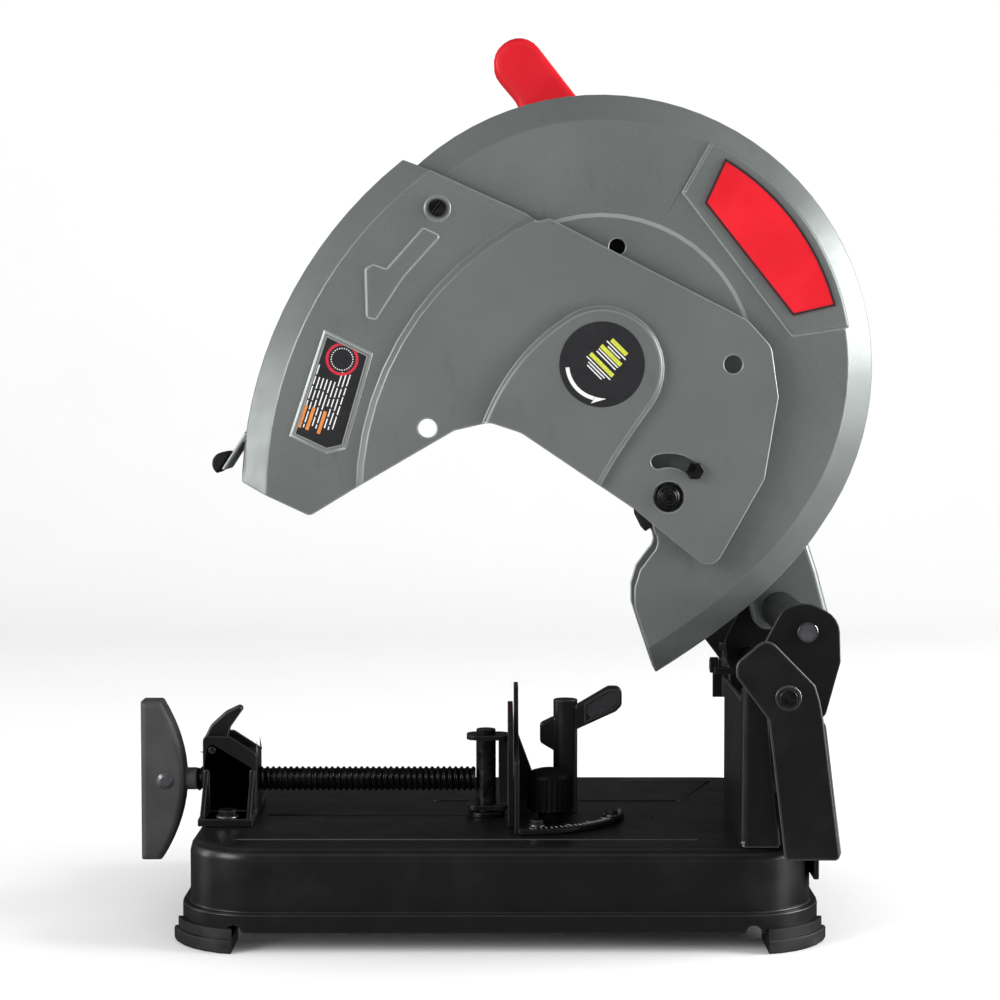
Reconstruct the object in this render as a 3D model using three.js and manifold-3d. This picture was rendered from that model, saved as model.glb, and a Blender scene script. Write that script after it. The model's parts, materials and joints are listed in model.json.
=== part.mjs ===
// An abrasive chop saw: pressed base, hinged cutting head, swinging lower guard, vise and mitre fence.
// Millimetres. +X runs to the rear of the saw, +Y to its motor side and +Z up.
import * as THREE from "three";
import { mergeVertices } from "three/addons/utils/BufferGeometryUtils.js";
import Module from "manifold-3d";

const wasm = await Module();
wasm.setup();

// ---------------------------------------------------------------- driving dimensions
const GAP = 0.3; // clearance between neighbouring pieces
const REACH = 800; // further than any point of the saw from the origin
const FRAME_ORIGIN = { x: 7.5, y: 46 }; // middle of the whole saw's footprint, in the drawing's axes

const TABLE = { top: 65, halfX: 201, halfY: 132.5, midY: 20.5, corner: 45, wall: 2.2 };
const SKIRT = { flare: 5, top: 24, bottom: 12 };
const FOOT = { out: 11, lipOut: 8.5, slab: 9, lip: 15, along: 44 };

const POST_WALL = { x: 152.3, y: -110, far: 2, sheet: 2.7, low: 65.3, high: 167 }; // tower's front post
const HINGE = { x: 180.2, z: 161.6, bore: 5.3 }; // head hinge
const LEG = { near: -120, far: 156, sheet: 3 };
const EAR = { near: -60, far: 109, sheet: 5, boltX: 200, boltZ: 196.4, boltR: 6.6, bore: 5.3 };

const WHEEL = { x: 69, z: 368, y: 52, gap: 3.6 }; // spindle axis and the plane of the cutting wheel
const GUARD = { r: 188.6, near: 27, far: 78, wall: 2.2, bevelWide: 19, bevelDeep: 15 };
const SWING = { x: 114.9, z: 280.7, r: 293.5, face: 17, back: 80, wall: 2.2, bevelWide: 18.6, bevelDeep: 18 };
const SLOT = { r: 25, half: 4.6, from: 46, to: 107 }; // lower guard's travel slot, degrees about its pivot

const GEAR = { teeth: 36, r: 49.2, y0: 92, y1: 103 };
const PINION = { teeth: 9, r: 12, gearAngle: 56.5, spacing: 62 };
const CASE = { near: 84, far: 125, wall: 4 };
const MOTOR = { r: 46, y0: 126, y1: 196, capEnd: 207 };

const SCREW = { z: 90, r: 8.2, from: -205, to: -16.6 };
const POST = { x: -9.5, r: 6.7 };
const RELEASE = { x: -193.5, z: 111.7 };
const FENCE = { face: 9.5, sheet: 3, near: -68, far: 48, low: 49, high: 85, plate: 4, sectorR: 72 };
const KNOB = { x: 33, y: -45, r: 15, top: 105 };
const LEVER = { x: 44, y: -12, r: 8.1, top: 146 };

const rad = THREE.MathUtils.degToRad;
const MOTOR_AXIS = {
  x: WHEEL.x + PINION.spacing * Math.cos(rad(PINION.gearAngle)),
  z: WHEEL.z + PINION.spacing * Math.sin(rad(PINION.gearAngle)),
};

// ---------------------------------------------------------------- finishes
const finish = (color, roughness, metalness) => () =>
  new THREE.MeshStandardMaterial({ color, roughness, metalness });
const PAINTED_BLACK = finish(0x17181a, 0.4, 0.6);
const CAST_GREY = finish(0x6f7472, 0.45, 0.5);
const BLACK_OXIDE = finish(0x1c1d1f, 0.35, 0.9);
const STEEL = finish(0xb4b7ba, 0.3, 1);
const RUBBER = finish(0x141415, 0.85, 0);
const DARK_PLASTIC = finish(0x3a3b3d, 0.6, 0);
const RED_PLASTIC = finish(0xd21a26, 0.45, 0);
const COPPER = finish(0xa35a32, 0.4, 0.9);

// ---------------------------------------------------------------- solids
function solid(geometry) {
  const bare = geometry.index ? geometry.toNonIndexed() : geometry.clone();
  bare.deleteAttribute("normal");
  bare.deleteAttribute("uv");
  const merged = mergeVertices(bare, 1e-4);
  const mesh = new wasm.Mesh({
    numProp: 3,
    vertProperties: merged.attributes.position.array,
    triVerts: new Uint32Array(merged.index.array),
  });
  return new wasm.Manifold(mesh);
}

const join = (first, ...others) => others.reduce((sum, next) => sum.add(next), first);
const cut = (first, ...others) => others.reduce((left, next) => left.subtract(next), first);

// A closed outline through [x, y, radius] corners, each rounded by an arc where it has a radius.
function outline(corners) {
  const shape = new THREE.Shape();
  const count = corners.length;
  const at = (i) => new THREE.Vector2(...corners[(i + count) % count]);
  let started = false;
  const lineOrMove = (point) => {
    if (started) shape.lineTo(point.x, point.y);
    else shape.moveTo(point.x, point.y);
    started = true;
  };
  corners.forEach(([, , radius = 0], i) => {
    const here = at(i);
    const back = at(i - 1).sub(here);
    const ahead = at(i + 1).sub(here);
    if (radius === 0) {
      lineOrMove(here);
      return;
    }
    const halfAngle = Math.acos(back.dot(ahead) / (back.length() * ahead.length())) / 2;
    const reach = Math.min(radius / Math.tan(halfAngle), 0.48 * back.length(), 0.48 * ahead.length());
    const r = reach * Math.tan(halfAngle);
    const clockwise = back.cross(ahead) > 0;
    const toCentre = back.clone().normalize().add(ahead.clone().normalize());
    const centre = here.clone().add(toCentre.setLength(r / Math.sin(halfAngle)));
    const start = here.clone().add(back.setLength(reach));
    const end = here.clone().add(ahead.setLength(reach));
    lineOrMove(start);
    const [from, to] = [start, end].map((point) => point.sub(centre).angle());
    shape.absarc(centre.x, centre.y, r, from, to, clockwise);
  });
  return shape;
}

function roundedRectangle(halfX, halfY, radius, midX = 0, midY = 0) {
  const shape = new THREE.Shape();
  shape.absarc(midX + halfX - radius, midY + halfY - radius, radius, 0, Math.PI / 2);
  shape.absarc(midX - halfX + radius, midY + halfY - radius, radius, Math.PI / 2, Math.PI);
  shape.absarc(midX - halfX + radius, midY - halfY + radius, radius, Math.PI, Math.PI * 1.5);
  shape.absarc(midX + halfX - radius, midY - halfY + radius, radius, Math.PI * 1.5, Math.PI * 2);
  return shape;
}

function disc(x, y, radius) {
  return new THREE.Shape().absarc(x, y, radius, 0, Math.PI * 2);
}

// Extrusions along Z, Y and X. "edge" rounds or chamfers both end faces inwards.
function extruded(shape, length, { size = 0, deep = size, steps = 2, inset = 0, curve = 2 } = {}) {
  return new THREE.ExtrudeGeometry(shape, {
    depth: length - 2 * deep,
    curveSegments: curve,
    bevelEnabled: size > 0 || inset > 0,
    bevelSize: size,
    bevelThickness: deep,
    bevelOffset: -size - inset,
    bevelSegments: steps,
  }).translate(0, 0, deep);
}

const prismZ = (shape, z0, z1, edge) => solid(extruded(shape, z1 - z0, edge).translate(0, 0, z0));

const prismY = (shape, y0, y1, edge) =>
  solid(extruded(shape, y1 - y0, edge).rotateX(Math.PI / 2).translate(0, y1, 0));

// The shape is drawn in (y, z).
function prismX(shape, x0, x1, edge) {
  const turn = new THREE.Matrix4().makeBasis(
    new THREE.Vector3(0, 1, 0),
    new THREE.Vector3(0, 0, 1),
    new THREE.Vector3(1, 0, 0),
  );
  return solid(extruded(shape, x1 - x0, edge).applyMatrix4(turn).translate(x0, 0, 0));
}

function block(x0, x1, y0, y1, z0, z1) {
  const box = new THREE.BoxGeometry(x1 - x0, y1 - y0, z1 - z0);
  return solid(box.translate((x0 + x1) / 2, (y0 + y1) / 2, (z0 + z1) / 2));
}

const cylinder = (radius, length, sides) => new THREE.CylinderGeometry(radius, radius, length, sides);

const rodY = (x, z, radius, y0, y1, sides = 20) =>
  solid(cylinder(radius, y1 - y0, sides).translate(x, (y0 + y1) / 2, z));

const rodX = (y, z, radius, x0, x1, sides = 20) =>
  solid(cylinder(radius, x1 - x0, sides).rotateZ(Math.PI / 2).translate((x0 + x1) / 2, y, z));

const rodZ = (x, y, radius, z0, z1, sides = 20) =>
  solid(cylinder(radius, z1 - z0, sides).rotateX(Math.PI / 2).translate(x, y, (z0 + z1) / 2));

// A turned piece about an axis along Y, from [radius, y] points that start and end on the axis.
const turnedY = (x, z, profile, sides = 24) =>
  solid(
    new THREE.LatheGeometry(
      profile.map(([r, y]) => new THREE.Vector2(r, y)),
      sides,
    ).translate(x, 0, z),
  );

// The part of space between two planes across Y.
const slab = (y0, y1) => block(-REACH, REACH, y0, y1, -REACH, REACH);

// A bolt along Y or Z: hexagonal head, turned about its axis by "turn", then a shank.
function boltY(x, z, headR, headY0, headY1, shankR, shankEnd, turn = 0) {
  const hexagon = cylinder(headR, headY1 - headY0, 6).rotateY(turn);
  const head = solid(hexagon.translate(x, (headY0 + headY1) / 2, z));
  return join(head, rodY(x, z, shankR, headY1 - 0.5, shankEnd));
}

function boltZ(x, y, headR, headZ0, headZ1, shankR, shankEnd) {
  return join(rodZ(x, y, headR, headZ0, headZ1, 6), rodZ(x, y, shankR, shankEnd, headZ0 + 0.5));
}

// ---------------------------------------------------------------- scene graph
const saw = new THREE.Group();
saw.name = "chop_saw";
saw.position.set(-FRAME_ORIGIN.x, -FRAME_ORIGIN.y, 0);

function group(name, parent = saw) {
  const made = new THREE.Group();
  made.name = name;
  parent.add(made);
  return made;
}

function add(parent, name, body, material) {
  const raw = body.getMesh();
  const geometry = new THREE.BufferGeometry();
  geometry.setAttribute("position", new THREE.BufferAttribute(raw.vertProperties, 3));
  geometry.setIndex(new THREE.BufferAttribute(raw.triVerts, 1));
  geometry.computeVertexNormals();
  const mesh = new THREE.Mesh(geometry, material());
  mesh.name = name;
  parent.add(mesh);
}

const base = group("base");
const head = group("head");
const lowerGuard = group("lower_guard", head);
const vise = group("vise");
const fence = group("fence");

// ---------------------------------------------------------------- base
function trayOutline(grow) {
  const { halfX, halfY, corner, midY } = TABLE;
  return roundedRectangle(halfX + grow, halfY + grow, corner + grow, 0, midY);
}

// The four corners as [x sign, y sign] with the box that each foot wraps.
function cornerBox(signX, signY, z0, z1) {
  const outX = TABLE.halfX + FOOT.out + 1;
  const outY = TABLE.halfY + FOOT.out + 1;
  const xs = [signX * (outX - FOOT.along), signX * outX].sort((a, b) => a - b);
  const ys = [TABLE.midY + signY * (outY - FOOT.along), TABLE.midY + signY * outY].sort((a, b) => a - b);
  return block(xs[0], xs[1], ys[0], ys[1], z0, z1);
}

const CORNERS = [
  ["foot_front_near", -1, -1],
  ["foot_rear_near", 1, -1],
  ["foot_front_far", -1, 1],
  ["foot_rear_far", 1, 1],
];

// A straight slot in the table, rounded at both ends.
function tableSlot(x0, x1, y, half, z0, z1) {
  return join(
    block(x0, x1, y - half, y + half, z0, z1),
    rodZ(x0, y, half, z0, z1, 16),
    rodZ(x1, y, half, z0, z1, 16),
  );
}

function baseTray() {
  const { top, wall } = TABLE;
  const { flare, bottom } = SKIRT;
  const round = { curve: 4 };
  const rolled = { size: 8, steps: 3, curve: 4 };
  const skirt = prismZ(trayOutline(flare), bottom, SKIRT.top, round);
  const outside = join(prismZ(trayOutline(0), bottom, top, rolled), skirt);
  const inside = join(
    prismZ(trayOutline(-wall), bottom - 9, top - wall, rolled),
    prismZ(trayOutline(flare - wall), bottom - 9, SKIRT.top - wall, round),
  );
  const ring = cut(
    prismZ(trayOutline(flare), FOOT.slab + GAP, bottom + 1, round),
    prismZ(trayOutline(flare - wall), FOOT.slab, bottom + 2, round),
  );
  const legs = CORNERS.map(([, sx, sy]) => ring.intersect(cornerBox(sx, sy, 0, bottom + 2)));
  const shell = join(cut(outside, inside), ...legs);
  const through = [top - 12, top + 1];
  const scored = [top - 0.8, top + 1];
  const notches = [-168, 160].flatMap((x) => [
    rodY(x, bottom, 5, TABLE.midY - TABLE.halfY - 8, TABLE.midY - TABLE.halfY + 4, 16),
    rodY(x, bottom, 5, TABLE.midY + TABLE.halfY - 4, TABLE.midY + TABLE.halfY + 8, 16),
  ]);
  const ribbed = join(shell, block(89, 155, 130, 134, top - 1, top + 0.8));
  return cut(
    ribbed,
    tableSlot(-157, -4, 0, 3.8, ...through),
    tableSlot(-43, 123, WHEEL.y, 3.6, ...through),
    tableSlot(-168, 126, -82, 1.4, ...scored),
    rodZ(104, -8, 3, ...through),
    ...notches,
  );
}

function foot(signX, signY) {
  const slab = prismZ(trayOutline(FOOT.out), 0, FOOT.slab, { size: 1, steps: 1, curve: 4 });
  const lip = cut(
    prismZ(trayOutline(FOOT.lipOut), FOOT.slab - 1, FOOT.lip, { curve: 4 }),
    prismZ(trayOutline(SKIRT.flare + GAP), FOOT.slab, FOOT.lip + 1, { curve: 4 }),
  );
  return join(slab, lip).intersect(cornerBox(signX, signY, -1, FOOT.lip + 1));
}

add(base, "base_tray", baseTray(), PAINTED_BLACK);
for (const [name, sx, sy] of CORNERS) add(base, name, foot(sx, sy), RUBBER);

// ---------------------------------------------------------------- tower
const LEG_OUTLINE = [
  [167, 200.3, 8],
  [147, 183.5, 8],
  [147.6, 174.7, 3],
  [160.8, 157.2, 6],
  [167.7, 147.8, 6],
  [178.6, 59, 3],
  [213.6, 59, 3],
  [202.4, 147.8, 4],
  [200.2, 159.7, 4],
  [197.1, 169.7, 6],
];

// A leg plate with its folded rear lip and the foot flange that stands on the table.
function leg(outerY, inward) {
  const [y0, y1] = [outerY, outerY + LEG.sheet];
  const plate = prismY(outline(LEG_OUTLINE), y0, y1);
  const lipDepth = 27 * inward;
  const lipYs = [inward > 0 ? y0 : y1, (inward > 0 ? y0 : y1) + lipDepth].sort((a, b) => a - b);
  const lip = prismY(outline([[210.4, 62], [213.1, 62], [202.7, 145], [200, 145]]), ...lipYs);
  const flangeYs = [y0 + 1, y0 + 1 + 22 * inward].sort((a, b) => a - b);
  const flange = block(181, 200, ...flangeYs, TABLE.top + GAP, TABLE.top + GAP + LEG.sheet);
  return cut(join(plate, lip, flange), rodY(HINGE.x, HINGE.z, HINGE.bore, y0 - 1, y1 + 1));
}

// A folded post: a front wall across the table and a side wall, with a rounded corner between them.
function frontPost() {
  const { x, y, far, sheet, low, high } = POST_WALL;
  const plan = outline([[x + 24, y], [x, y, 5], [x, far], [x + sheet, far], [x + sheet, y + sheet, 2.3],
    [x + 24, y + sheet]]);
  const side = outline([[x, low], [x + 24, low], [x + 16, 150, 4], [x + 8, high, 3], [x, high, 3]]);
  const walls = prismZ(plan, low, high, { curve: 5 }).intersect(prismY(side, y - 1, far + 1));
  const aboveFront = block(x - 1, x + 30, y + 8, far + 1, high - 9, high + 1);
  const sole = block(x + 1, x + 24, y + 1, y + 18, low, low + sheet);
  return join(cut(walls, aboveFront), sole);
}

function crossPanel() {
  const profile = outline([[-90, 40, 3], [130, 40, 3], [130, 108, 8], [118, 112, 3], [-78, 112, 3],
    [-90, 108, 8]]);
  const panel = prismX(profile, TABLE.halfX + 0.4, TABLE.halfX + 3.4);
  const bead = rodY(TABLE.halfX + 3.4, 110, 2.2, -88, 128, 12);
  return join(panel, bead);
}

function hingeShaft() {
  const threadedEnd = LEG.far + LEG.sheet + GAP;
  return join(
    rodY(HINGE.x, HINGE.z, HINGE.bore - GAP, LEG.near - 1, threadedEnd + 4),
    rodY(HINGE.x, HINGE.z, HINGE.bore + GAP, LEG.near - 1.5, LEG.near - GAP, 32),
    rodY(HINGE.x, HINGE.z, 8.5, threadedEnd, threadedEnd + 6, 6),
  );
}

class Coil extends THREE.Curve {
  getPoint(t) {
    const { turns, radius, start, length } = { turns: 5.5, radius: 11, start: -42, length: 26 };
    const angle = t * turns * Math.PI * 2;
    return new THREE.Vector3(
      HINGE.x + radius * Math.cos(angle),
      start + length * t,
      HINGE.z + radius * Math.sin(angle),
    );
  }
}

function returnSpring() {
  return solid(
    new THREE.ExtrudeGeometry(disc(0, 0, 1.6), { steps: 66, curveSegments: 3, extrudePath: new Coil() }),
  );
}

// Down-stop: a bracket on the far leg holds an upright bolt for the head to land on.
const STOP = { x: 168.5, y: 146, shelf: 143, sheet: 5, bolt: 4, hexR: 6.5, top: 166 };

function stopBracket() {
  const { x, y, shelf, sheet, bolt } = STOP;
  const wallY = LEG.far - GAP;
  const plate = block(x - 9.5, x + 10, y - 9, wallY, shelf, shelf + sheet);
  const back = block(x - 9.5, x + 10, wallY - 3, wallY, shelf - 19, shelf + sheet);
  const sideBoss = rodX(y, shelf + 6, 6, x - 12.5, x - 6.2, 6);
  return cut(join(plate, back, sideBoss), rodZ(x, y, bolt + GAP, shelf - 10, shelf + sheet + 1));
}

// The bolt with its lock nut run down on to the shelf.
function stopBolt() {
  const { x, y, shelf, sheet, bolt, hexR, top } = STOP;
  const nut = shelf + sheet + GAP;
  return join(
    rodZ(x, y, bolt, shelf - 17, top),
    rodZ(x, y, hexR, top - 5, top, 6),
    rodZ(x, y, hexR, nut, nut + 6, 6),
  );
}

add(base, "tower_leg_near", leg(LEG.near, 1), PAINTED_BLACK);
add(base, "tower_leg_far", leg(LEG.far, -1), PAINTED_BLACK);
add(base, "tower_front_post", frontPost(), PAINTED_BLACK);
add(base, "tower_cross_panel", crossPanel(), PAINTED_BLACK);
add(base, "hinge_shaft", hingeShaft(), BLACK_OXIDE);
add(base, "return_spring", returnSpring(), STEEL);
add(base, "stop_bracket", stopBracket(), PAINTED_BLACK);
add(base, "stop_bolt", stopBolt(), BLACK_OXIDE);

// ---------------------------------------------------------------- head frame
const earBore = (x, z) => rodY(x, z, EAR.bore, -REACH, REACH);

function ear(y0) {
  const shape = outline([[200, 216, 17], [221, 206, 16], [221.9, 176.9, 5], [211.8, 139.7, 5], [196, 141, 6],
    [166, 148, 14], [163, 172, 12], [184, 212, 12]]);
  return cut(prismY(shape, y0, y0 + EAR.sheet), earBore(HINGE.x, HINGE.z), earBore(EAR.boltX, EAR.boltZ));
}

// The near ear carries the spacer tube that reaches across to the casting.
function earWithTube() {
  const tube = rodY(EAR.boltX, EAR.boltZ, 13, EAR.near + 1, CASE.near - GAP, 32);
  return join(ear(EAR.near), cut(tube, earBore(EAR.boltX, EAR.boltZ)));
}

// Casting: an arm up the far side, clamped between tube and far ear, and the open gearcase.
function headArm() {
  const armShape = outline([[238, 183, 9], [227, 224, 40], [205, 290, 30], [158, 372, 20], [128, 400, 20],
    [86, 320, 20], [176, 214, 14], [184, 182, 9]]);
  const arm = prismY(armShape, CASE.near, EAR.far - GAP, { size: 4, steps: 2, curve: 3 });
  const gearcase = join(
    rodY(WHEEL.x, WHEEL.z, 56, CASE.near, CASE.far, 36),
    rodY(MOTOR_AXIS.x, MOTOR_AXIS.z, 50, CASE.near, CASE.far, 36),
    block(-20, 62, 112, CASE.far, 432, 466),
    block(10, 60, 112, CASE.far, 380, 440),
  );
  const cavity = join(
    rodY(WHEEL.x, WHEEL.z, 56 - CASE.wall, CASE.near - 1, 107, 36),
    rodY(MOTOR_AXIS.x, MOTOR_AXIS.z, 20, CASE.near - 1, 107, 32),
    rodY(WHEEL.x, WHEEL.z, 20.3, 106, 119, 32),
    rodY(MOTOR_AXIS.x, MOTOR_AXIS.z, 16.3, 106, CASE.far + 1, 32),
  );
  const lockBore = rodX(98, WHEEL.z, 4.3, -10, 20, 16);
  return cut(join(arm, gearcase), cavity, lockBore, earBore(EAR.boltX, EAR.boltZ));
}

function gearCover() {
  const plate = join(
    rodY(WHEEL.x, WHEEL.z, 56, 79, CASE.near - GAP, 36),
    rodY(MOTOR_AXIS.x, MOTOR_AXIS.z, 30, 79, CASE.near - GAP, 32),
  );
  return cut(plate, rodY(WHEEL.x, WHEEL.z, 10, 70, 90));
}

// One long bolt with its nut clamps both ears to the barrel.
function earBolt() {
  const { boltX, boltZ, boltR, near, far, sheet, bore } = EAR;
  return join(
    rodY(boltX, boltZ, bore - GAP, near - 1, far + sheet + 8),
    rodY(boltX, boltZ, boltR, near - 3, near - GAP, 32),
    rodY(boltX, boltZ, boltR, far + sheet + GAP, far + sheet + 6, 6),
  );
}

add(head, "ear_near", earWithTube(), PAINTED_BLACK);
add(head, "ear_far", ear(EAR.far), PAINTED_BLACK);
add(head, "head_arm", headArm(), CAST_GREY);
add(head, "gear_cover", gearCover(), CAST_GREY);
add(head, "ear_bolt", earBolt(), BLACK_OXIDE);

// ---------------------------------------------------------------- drive
// A spur gear blank with plain trapezoid teeth that stop just short of the mating gear.
function spurGear(x, z, radius, teeth, y0, y1, bore) {
  const depth = 2.2;
  const shape = new THREE.Shape();
  const pitch = (Math.PI * 2) / teeth;
  for (let i = 0; i < teeth; i += 1) {
    const corners = [[0.08, radius - depth], [0.22, radius], [0.5, radius], [0.64, radius - depth]];
    for (const [share, r] of corners) {
      const angle = (i + share) * pitch;
      const [px, pz] = [x + r * Math.cos(angle), z + r * Math.sin(angle)];
      if (i === 0 && share === corners[0][0]) shape.moveTo(px, pz);
      else shape.lineTo(px, pz);
    }
  }
  return cut(prismY(shape, y0, y1), rodY(x, z, bore, y0 - 1, y1 + 1));
}

function ring(x, z, outer, bore, y0, y1, sides = 24) {
  return cut(rodY(x, z, outer, y0, y1, sides), rodY(x, z, bore, y0 - 1, y1 + 1, sides));
}

function spindleShaft() {
  const wheelSide = WHEEL.y - WHEEL.gap / 2;
  return cut(
    turnedY(WHEEL.x, WHEEL.z, [[0, wheelSide], [8, wheelSide], [8, 118], [0, 118]]),
    rodY(WHEEL.x, WHEEL.z, 4.3, wheelSide - 1, wheelSide + 24, 16),
  );
}

function clampFlange(y0, y1, bore) {
  return ring(WHEEL.x, WHEEL.z, 30, bore, y0, y1, 40);
}

const FLANGE_IN = [WHEEL.y + WHEEL.gap / 2, WHEEL.y + WHEEL.gap / 2 + 6];
const FLANGE_OUT = [WHEEL.y - WHEEL.gap / 2 - 6, WHEEL.y - WHEEL.gap / 2 - GAP];
add(head, "spindle", spindleShaft(), STEEL);
add(head, "inner_flange", clampFlange(...FLANGE_IN, 8.3), STEEL);
add(head, "outer_flange", clampFlange(...FLANGE_OUT, 4.6), STEEL);
add(
  head,
  "arbor_bolt",
  boltY(WHEEL.x, WHEEL.z, 9, FLANGE_OUT[0] - 7, FLANGE_OUT[0] - GAP, 4, WHEEL.y + 16),
  BLACK_OXIDE,
);
add(head, "spindle_gear", spurGear(WHEEL.x, WHEEL.z, GEAR.r, GEAR.teeth, GEAR.y0, GEAR.y1, 8.3), STEEL);
add(head, "spindle_bearing", ring(WHEEL.x, WHEEL.z, 20, 8.3, 108, 117), STEEL);

// The rotor, with the pinion cut on the end of its shaft.
function rotor() {
  const { x, z } = MOTOR_AXIS;
  const shaft = rodY(x, z, 6, 90, 203, 24);
  const core = rodY(x, z, 25, 142, 178, 24);
  return join(shaft, core, spurGear(x, z, PINION.r, PINION.teeth, GEAR.y0, GEAR.y1, 5.5));
}

function motorHousing() {
  const { x, z } = MOTOR_AXIS;
  const { r, y0, y1 } = MOTOR;
  const shell = turnedY(
    x,
    z,
    [[0, y0], [r, y0], [r + 2, y0 + 4], [r, y0 + 8], [r, y1], [r - 3, y1], [r - 3, y0 + 8], [0, y0 + 8]],
    40,
  );
  const vents = [0, 1, 2, 3, 4, 5].map((i) => {
    const angle = rad(30 + i * 24);
    const slot = new THREE.BoxGeometry(12, 22, 4);
    slot.rotateY(-angle).translate(x + r * Math.cos(angle), y1 - 20, z + r * Math.sin(angle));
    return solid(slot);
  });
  return cut(shell, rodY(x, z, 16, y0 - 1, y0 + 9), ...vents);
}

function motorCap() {
  const { x, z } = MOTOR_AXIS;
  const { r, y1, capEnd } = MOTOR;
  const near = y1 + GAP;
  const far = capEnd + 9;
  const cap = turnedY(x, z, [[0, near], [r, near], [r, capEnd - 3], [r - 5, far], [0, far]], 40);
  const louvres = [-22, -11, 11, 22].map((rise) =>
    block(x - 26, x + 26, capEnd + 4, capEnd + 10, z + rise - 2, z + rise + 2),
  );
  const pocket = rodY(x, z, 13.3, near - 1, near + 9);
  return cut(cap, pocket, ...louvres);
}

function coolingFan() {
  const { x, z } = MOTOR_AXIS;
  const plate = rodY(x, z, 38, 188, 190, 32);
  const blades = [...Array(9).keys()].map((i) => {
    const blade = new THREE.BoxGeometry(24, 7.5, 2).translate(24, 0, 0);
    return solid(blade.rotateY((i * Math.PI * 2) / 9).translate(x, 185, z));
  });
  return cut(join(plate, rodY(x, z, 13, 182, 190), ...blades), rodY(x, z, 6.3, 180, 192));
}

add(head, "rotor", rotor(), STEEL);
add(head, "rotor_bearing_front", ring(MOTOR_AXIS.x, MOTOR_AXIS.z, 15.8, 6.3, 110, 119), STEEL);
add(head, "rotor_bearing_rear", ring(MOTOR_AXIS.x, MOTOR_AXIS.z, 13, 6.3, 196.6, 204), STEEL);
add(head, "stator", ring(MOTOR_AXIS.x, MOTOR_AXIS.z, MOTOR.r - 3.3, 26, 140, 180, 36), COPPER);
add(head, "cooling_fan", coolingFan(), DARK_PLASTIC);
add(head, "motor_housing", motorHousing(), DARK_PLASTIC);
add(head, "motor_end_cap", motorCap(), DARK_PLASTIC);

// ---------------------------------------------------------------- handle, switch and battery
const GRIP = { near: 133, far: 167 };
const LOCK_OFF = { x: 66, z: 544, r: 5 };

function dHandle() {
  const loop = outline([[8, 463, 9], [4, 500, 16], [15.6, 561.5, 18], [-11.9, 593.9, 18], [16.9, 616.9, 18],
    [55.7, 567.4, 18], [104, 530, 24], [76, 463, 9]]);
  loop.holes.push(outline([[66, 488, 10], [80, 518, 12], [38, 552, 10], [30, 488, 10]]));
  const body = prismY(loop, GRIP.near, GRIP.far, { size: 5, steps: 2, curve: 3 });
  const triggerSlot = prismY(outline([[46, 536], [66, 516], [80, 531], [60, 551]]), 144, 156);
  const lockSlot = rodY(LOCK_OFF.x, LOCK_OFF.z, LOCK_OFF.r + GAP, GRIP.near - 1, GRIP.near + 9, 20);
  return cut(body, triggerSlot, lockSlot);
}

const trigger = () =>
  prismY(
    outline([[44.5, 530, 3], [58, 514, 4], [64.5, 520, 2], [75.5, 531, 2], [63, 543, 2], [53, 538, 2]]),
    144.5,
    155.5,
  );

const RAIL_Z = 439;
const RAILS = [148, 178]; // near sides of the two rails that the battery hangs on

function rearHousing() {
  const side = outline([[-45, RAIL_Z, 3], [54, RAIL_Z, 3], [54, 462, 5], [-45, 462, 8]]);
  const shell = prismY(side, CASE.far + GAP, 208, { size: 2, steps: 1 });
  const rails = RAILS.map((y) => block(-40, 48, y, y + 8, RAIL_Z - 6, RAIL_Z + 2));
  return join(shell, ...rails);
}

function battery() {
  const seat = RAIL_Z - GAP;
  const box = outline([[-49, 378, 8], [50, 378, 8], [50, seat, 5], [-49, seat, 6]]);
  const pack = prismY(box, 132, 210, { size: 4, steps: 2 });
  const rails = RAILS.map((y) => block(-60, 60, y - GAP, y + 8 + GAP, RAIL_Z - 6 - GAP, RAIL_Z + 1));
  return cut(pack, ...rails);
}

add(head, "d_handle", dHandle(), RED_PLASTIC);
add(head, "rear_housing", rearHousing(), DARK_PLASTIC);
add(head, "trigger", trigger(), DARK_PLASTIC);
add(
  head,
  "lock_off_button",
  rodY(LOCK_OFF.x, LOCK_OFF.z, LOCK_OFF.r, GRIP.near - 5, GRIP.near + 4, 20),
  DARK_PLASTIC,
);
add(head, "battery", battery(), RED_PLASTIC);
add(head, "spindle_lock_button", rodX(98, WHEEL.z, 4, -6, 16, 16), BLACK_OXIDE);

// ---------------------------------------------------------------- upper guard
// The rim circle with its flared tail; straight sides close it far outside the cut.
function guardRim() {
  const shape = new THREE.Shape();
  shape.moveTo(108, 156.6);
  shape.lineTo(20, 101);
  shape.lineTo(WHEEL.x - GUARD.r, 101);
  shape.lineTo(WHEEL.x - GUARD.r, WHEEL.z);
  shape.absarc(WHEEL.x, WHEEL.z, GUARD.r, Math.PI, rad(-35), true);
  shape.quadraticCurveTo(191.2, 208.4, 108, 156.6);
  return shape;
}

// What is left of the rim after the opening for the work is cut away.
function guardKept() {
  const shape = new THREE.Shape();
  shape.moveTo(300, 100);
  shape.lineTo(300, 620);
  shape.lineTo(-200, 620);
  shape.lineTo(-200, 420);
  shape.lineTo(-60, 374);
  shape.lineTo(6, 338);
  shape.lineTo(62, 302);
  shape.lineTo(103, 270);
  shape.lineTo(105.7, 257);
  shape.quadraticCurveTo(112, 248, 104, 240);
  shape.bezierCurveTo(91, 228, 89, 207, 96.7, 191.5);
  shape.lineTo(112, 146);
  shape.lineTo(112, 100);
  return shape;
}

function badgeOutline(radius, from, to, inner) {
  const shape = new THREE.Shape();
  shape.absarc(WHEEL.x, WHEEL.z, radius, rad(from), rad(to), false);
  inner.forEach(([x, z]) => shape.lineTo(x, z));
  return shape;
}

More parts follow.
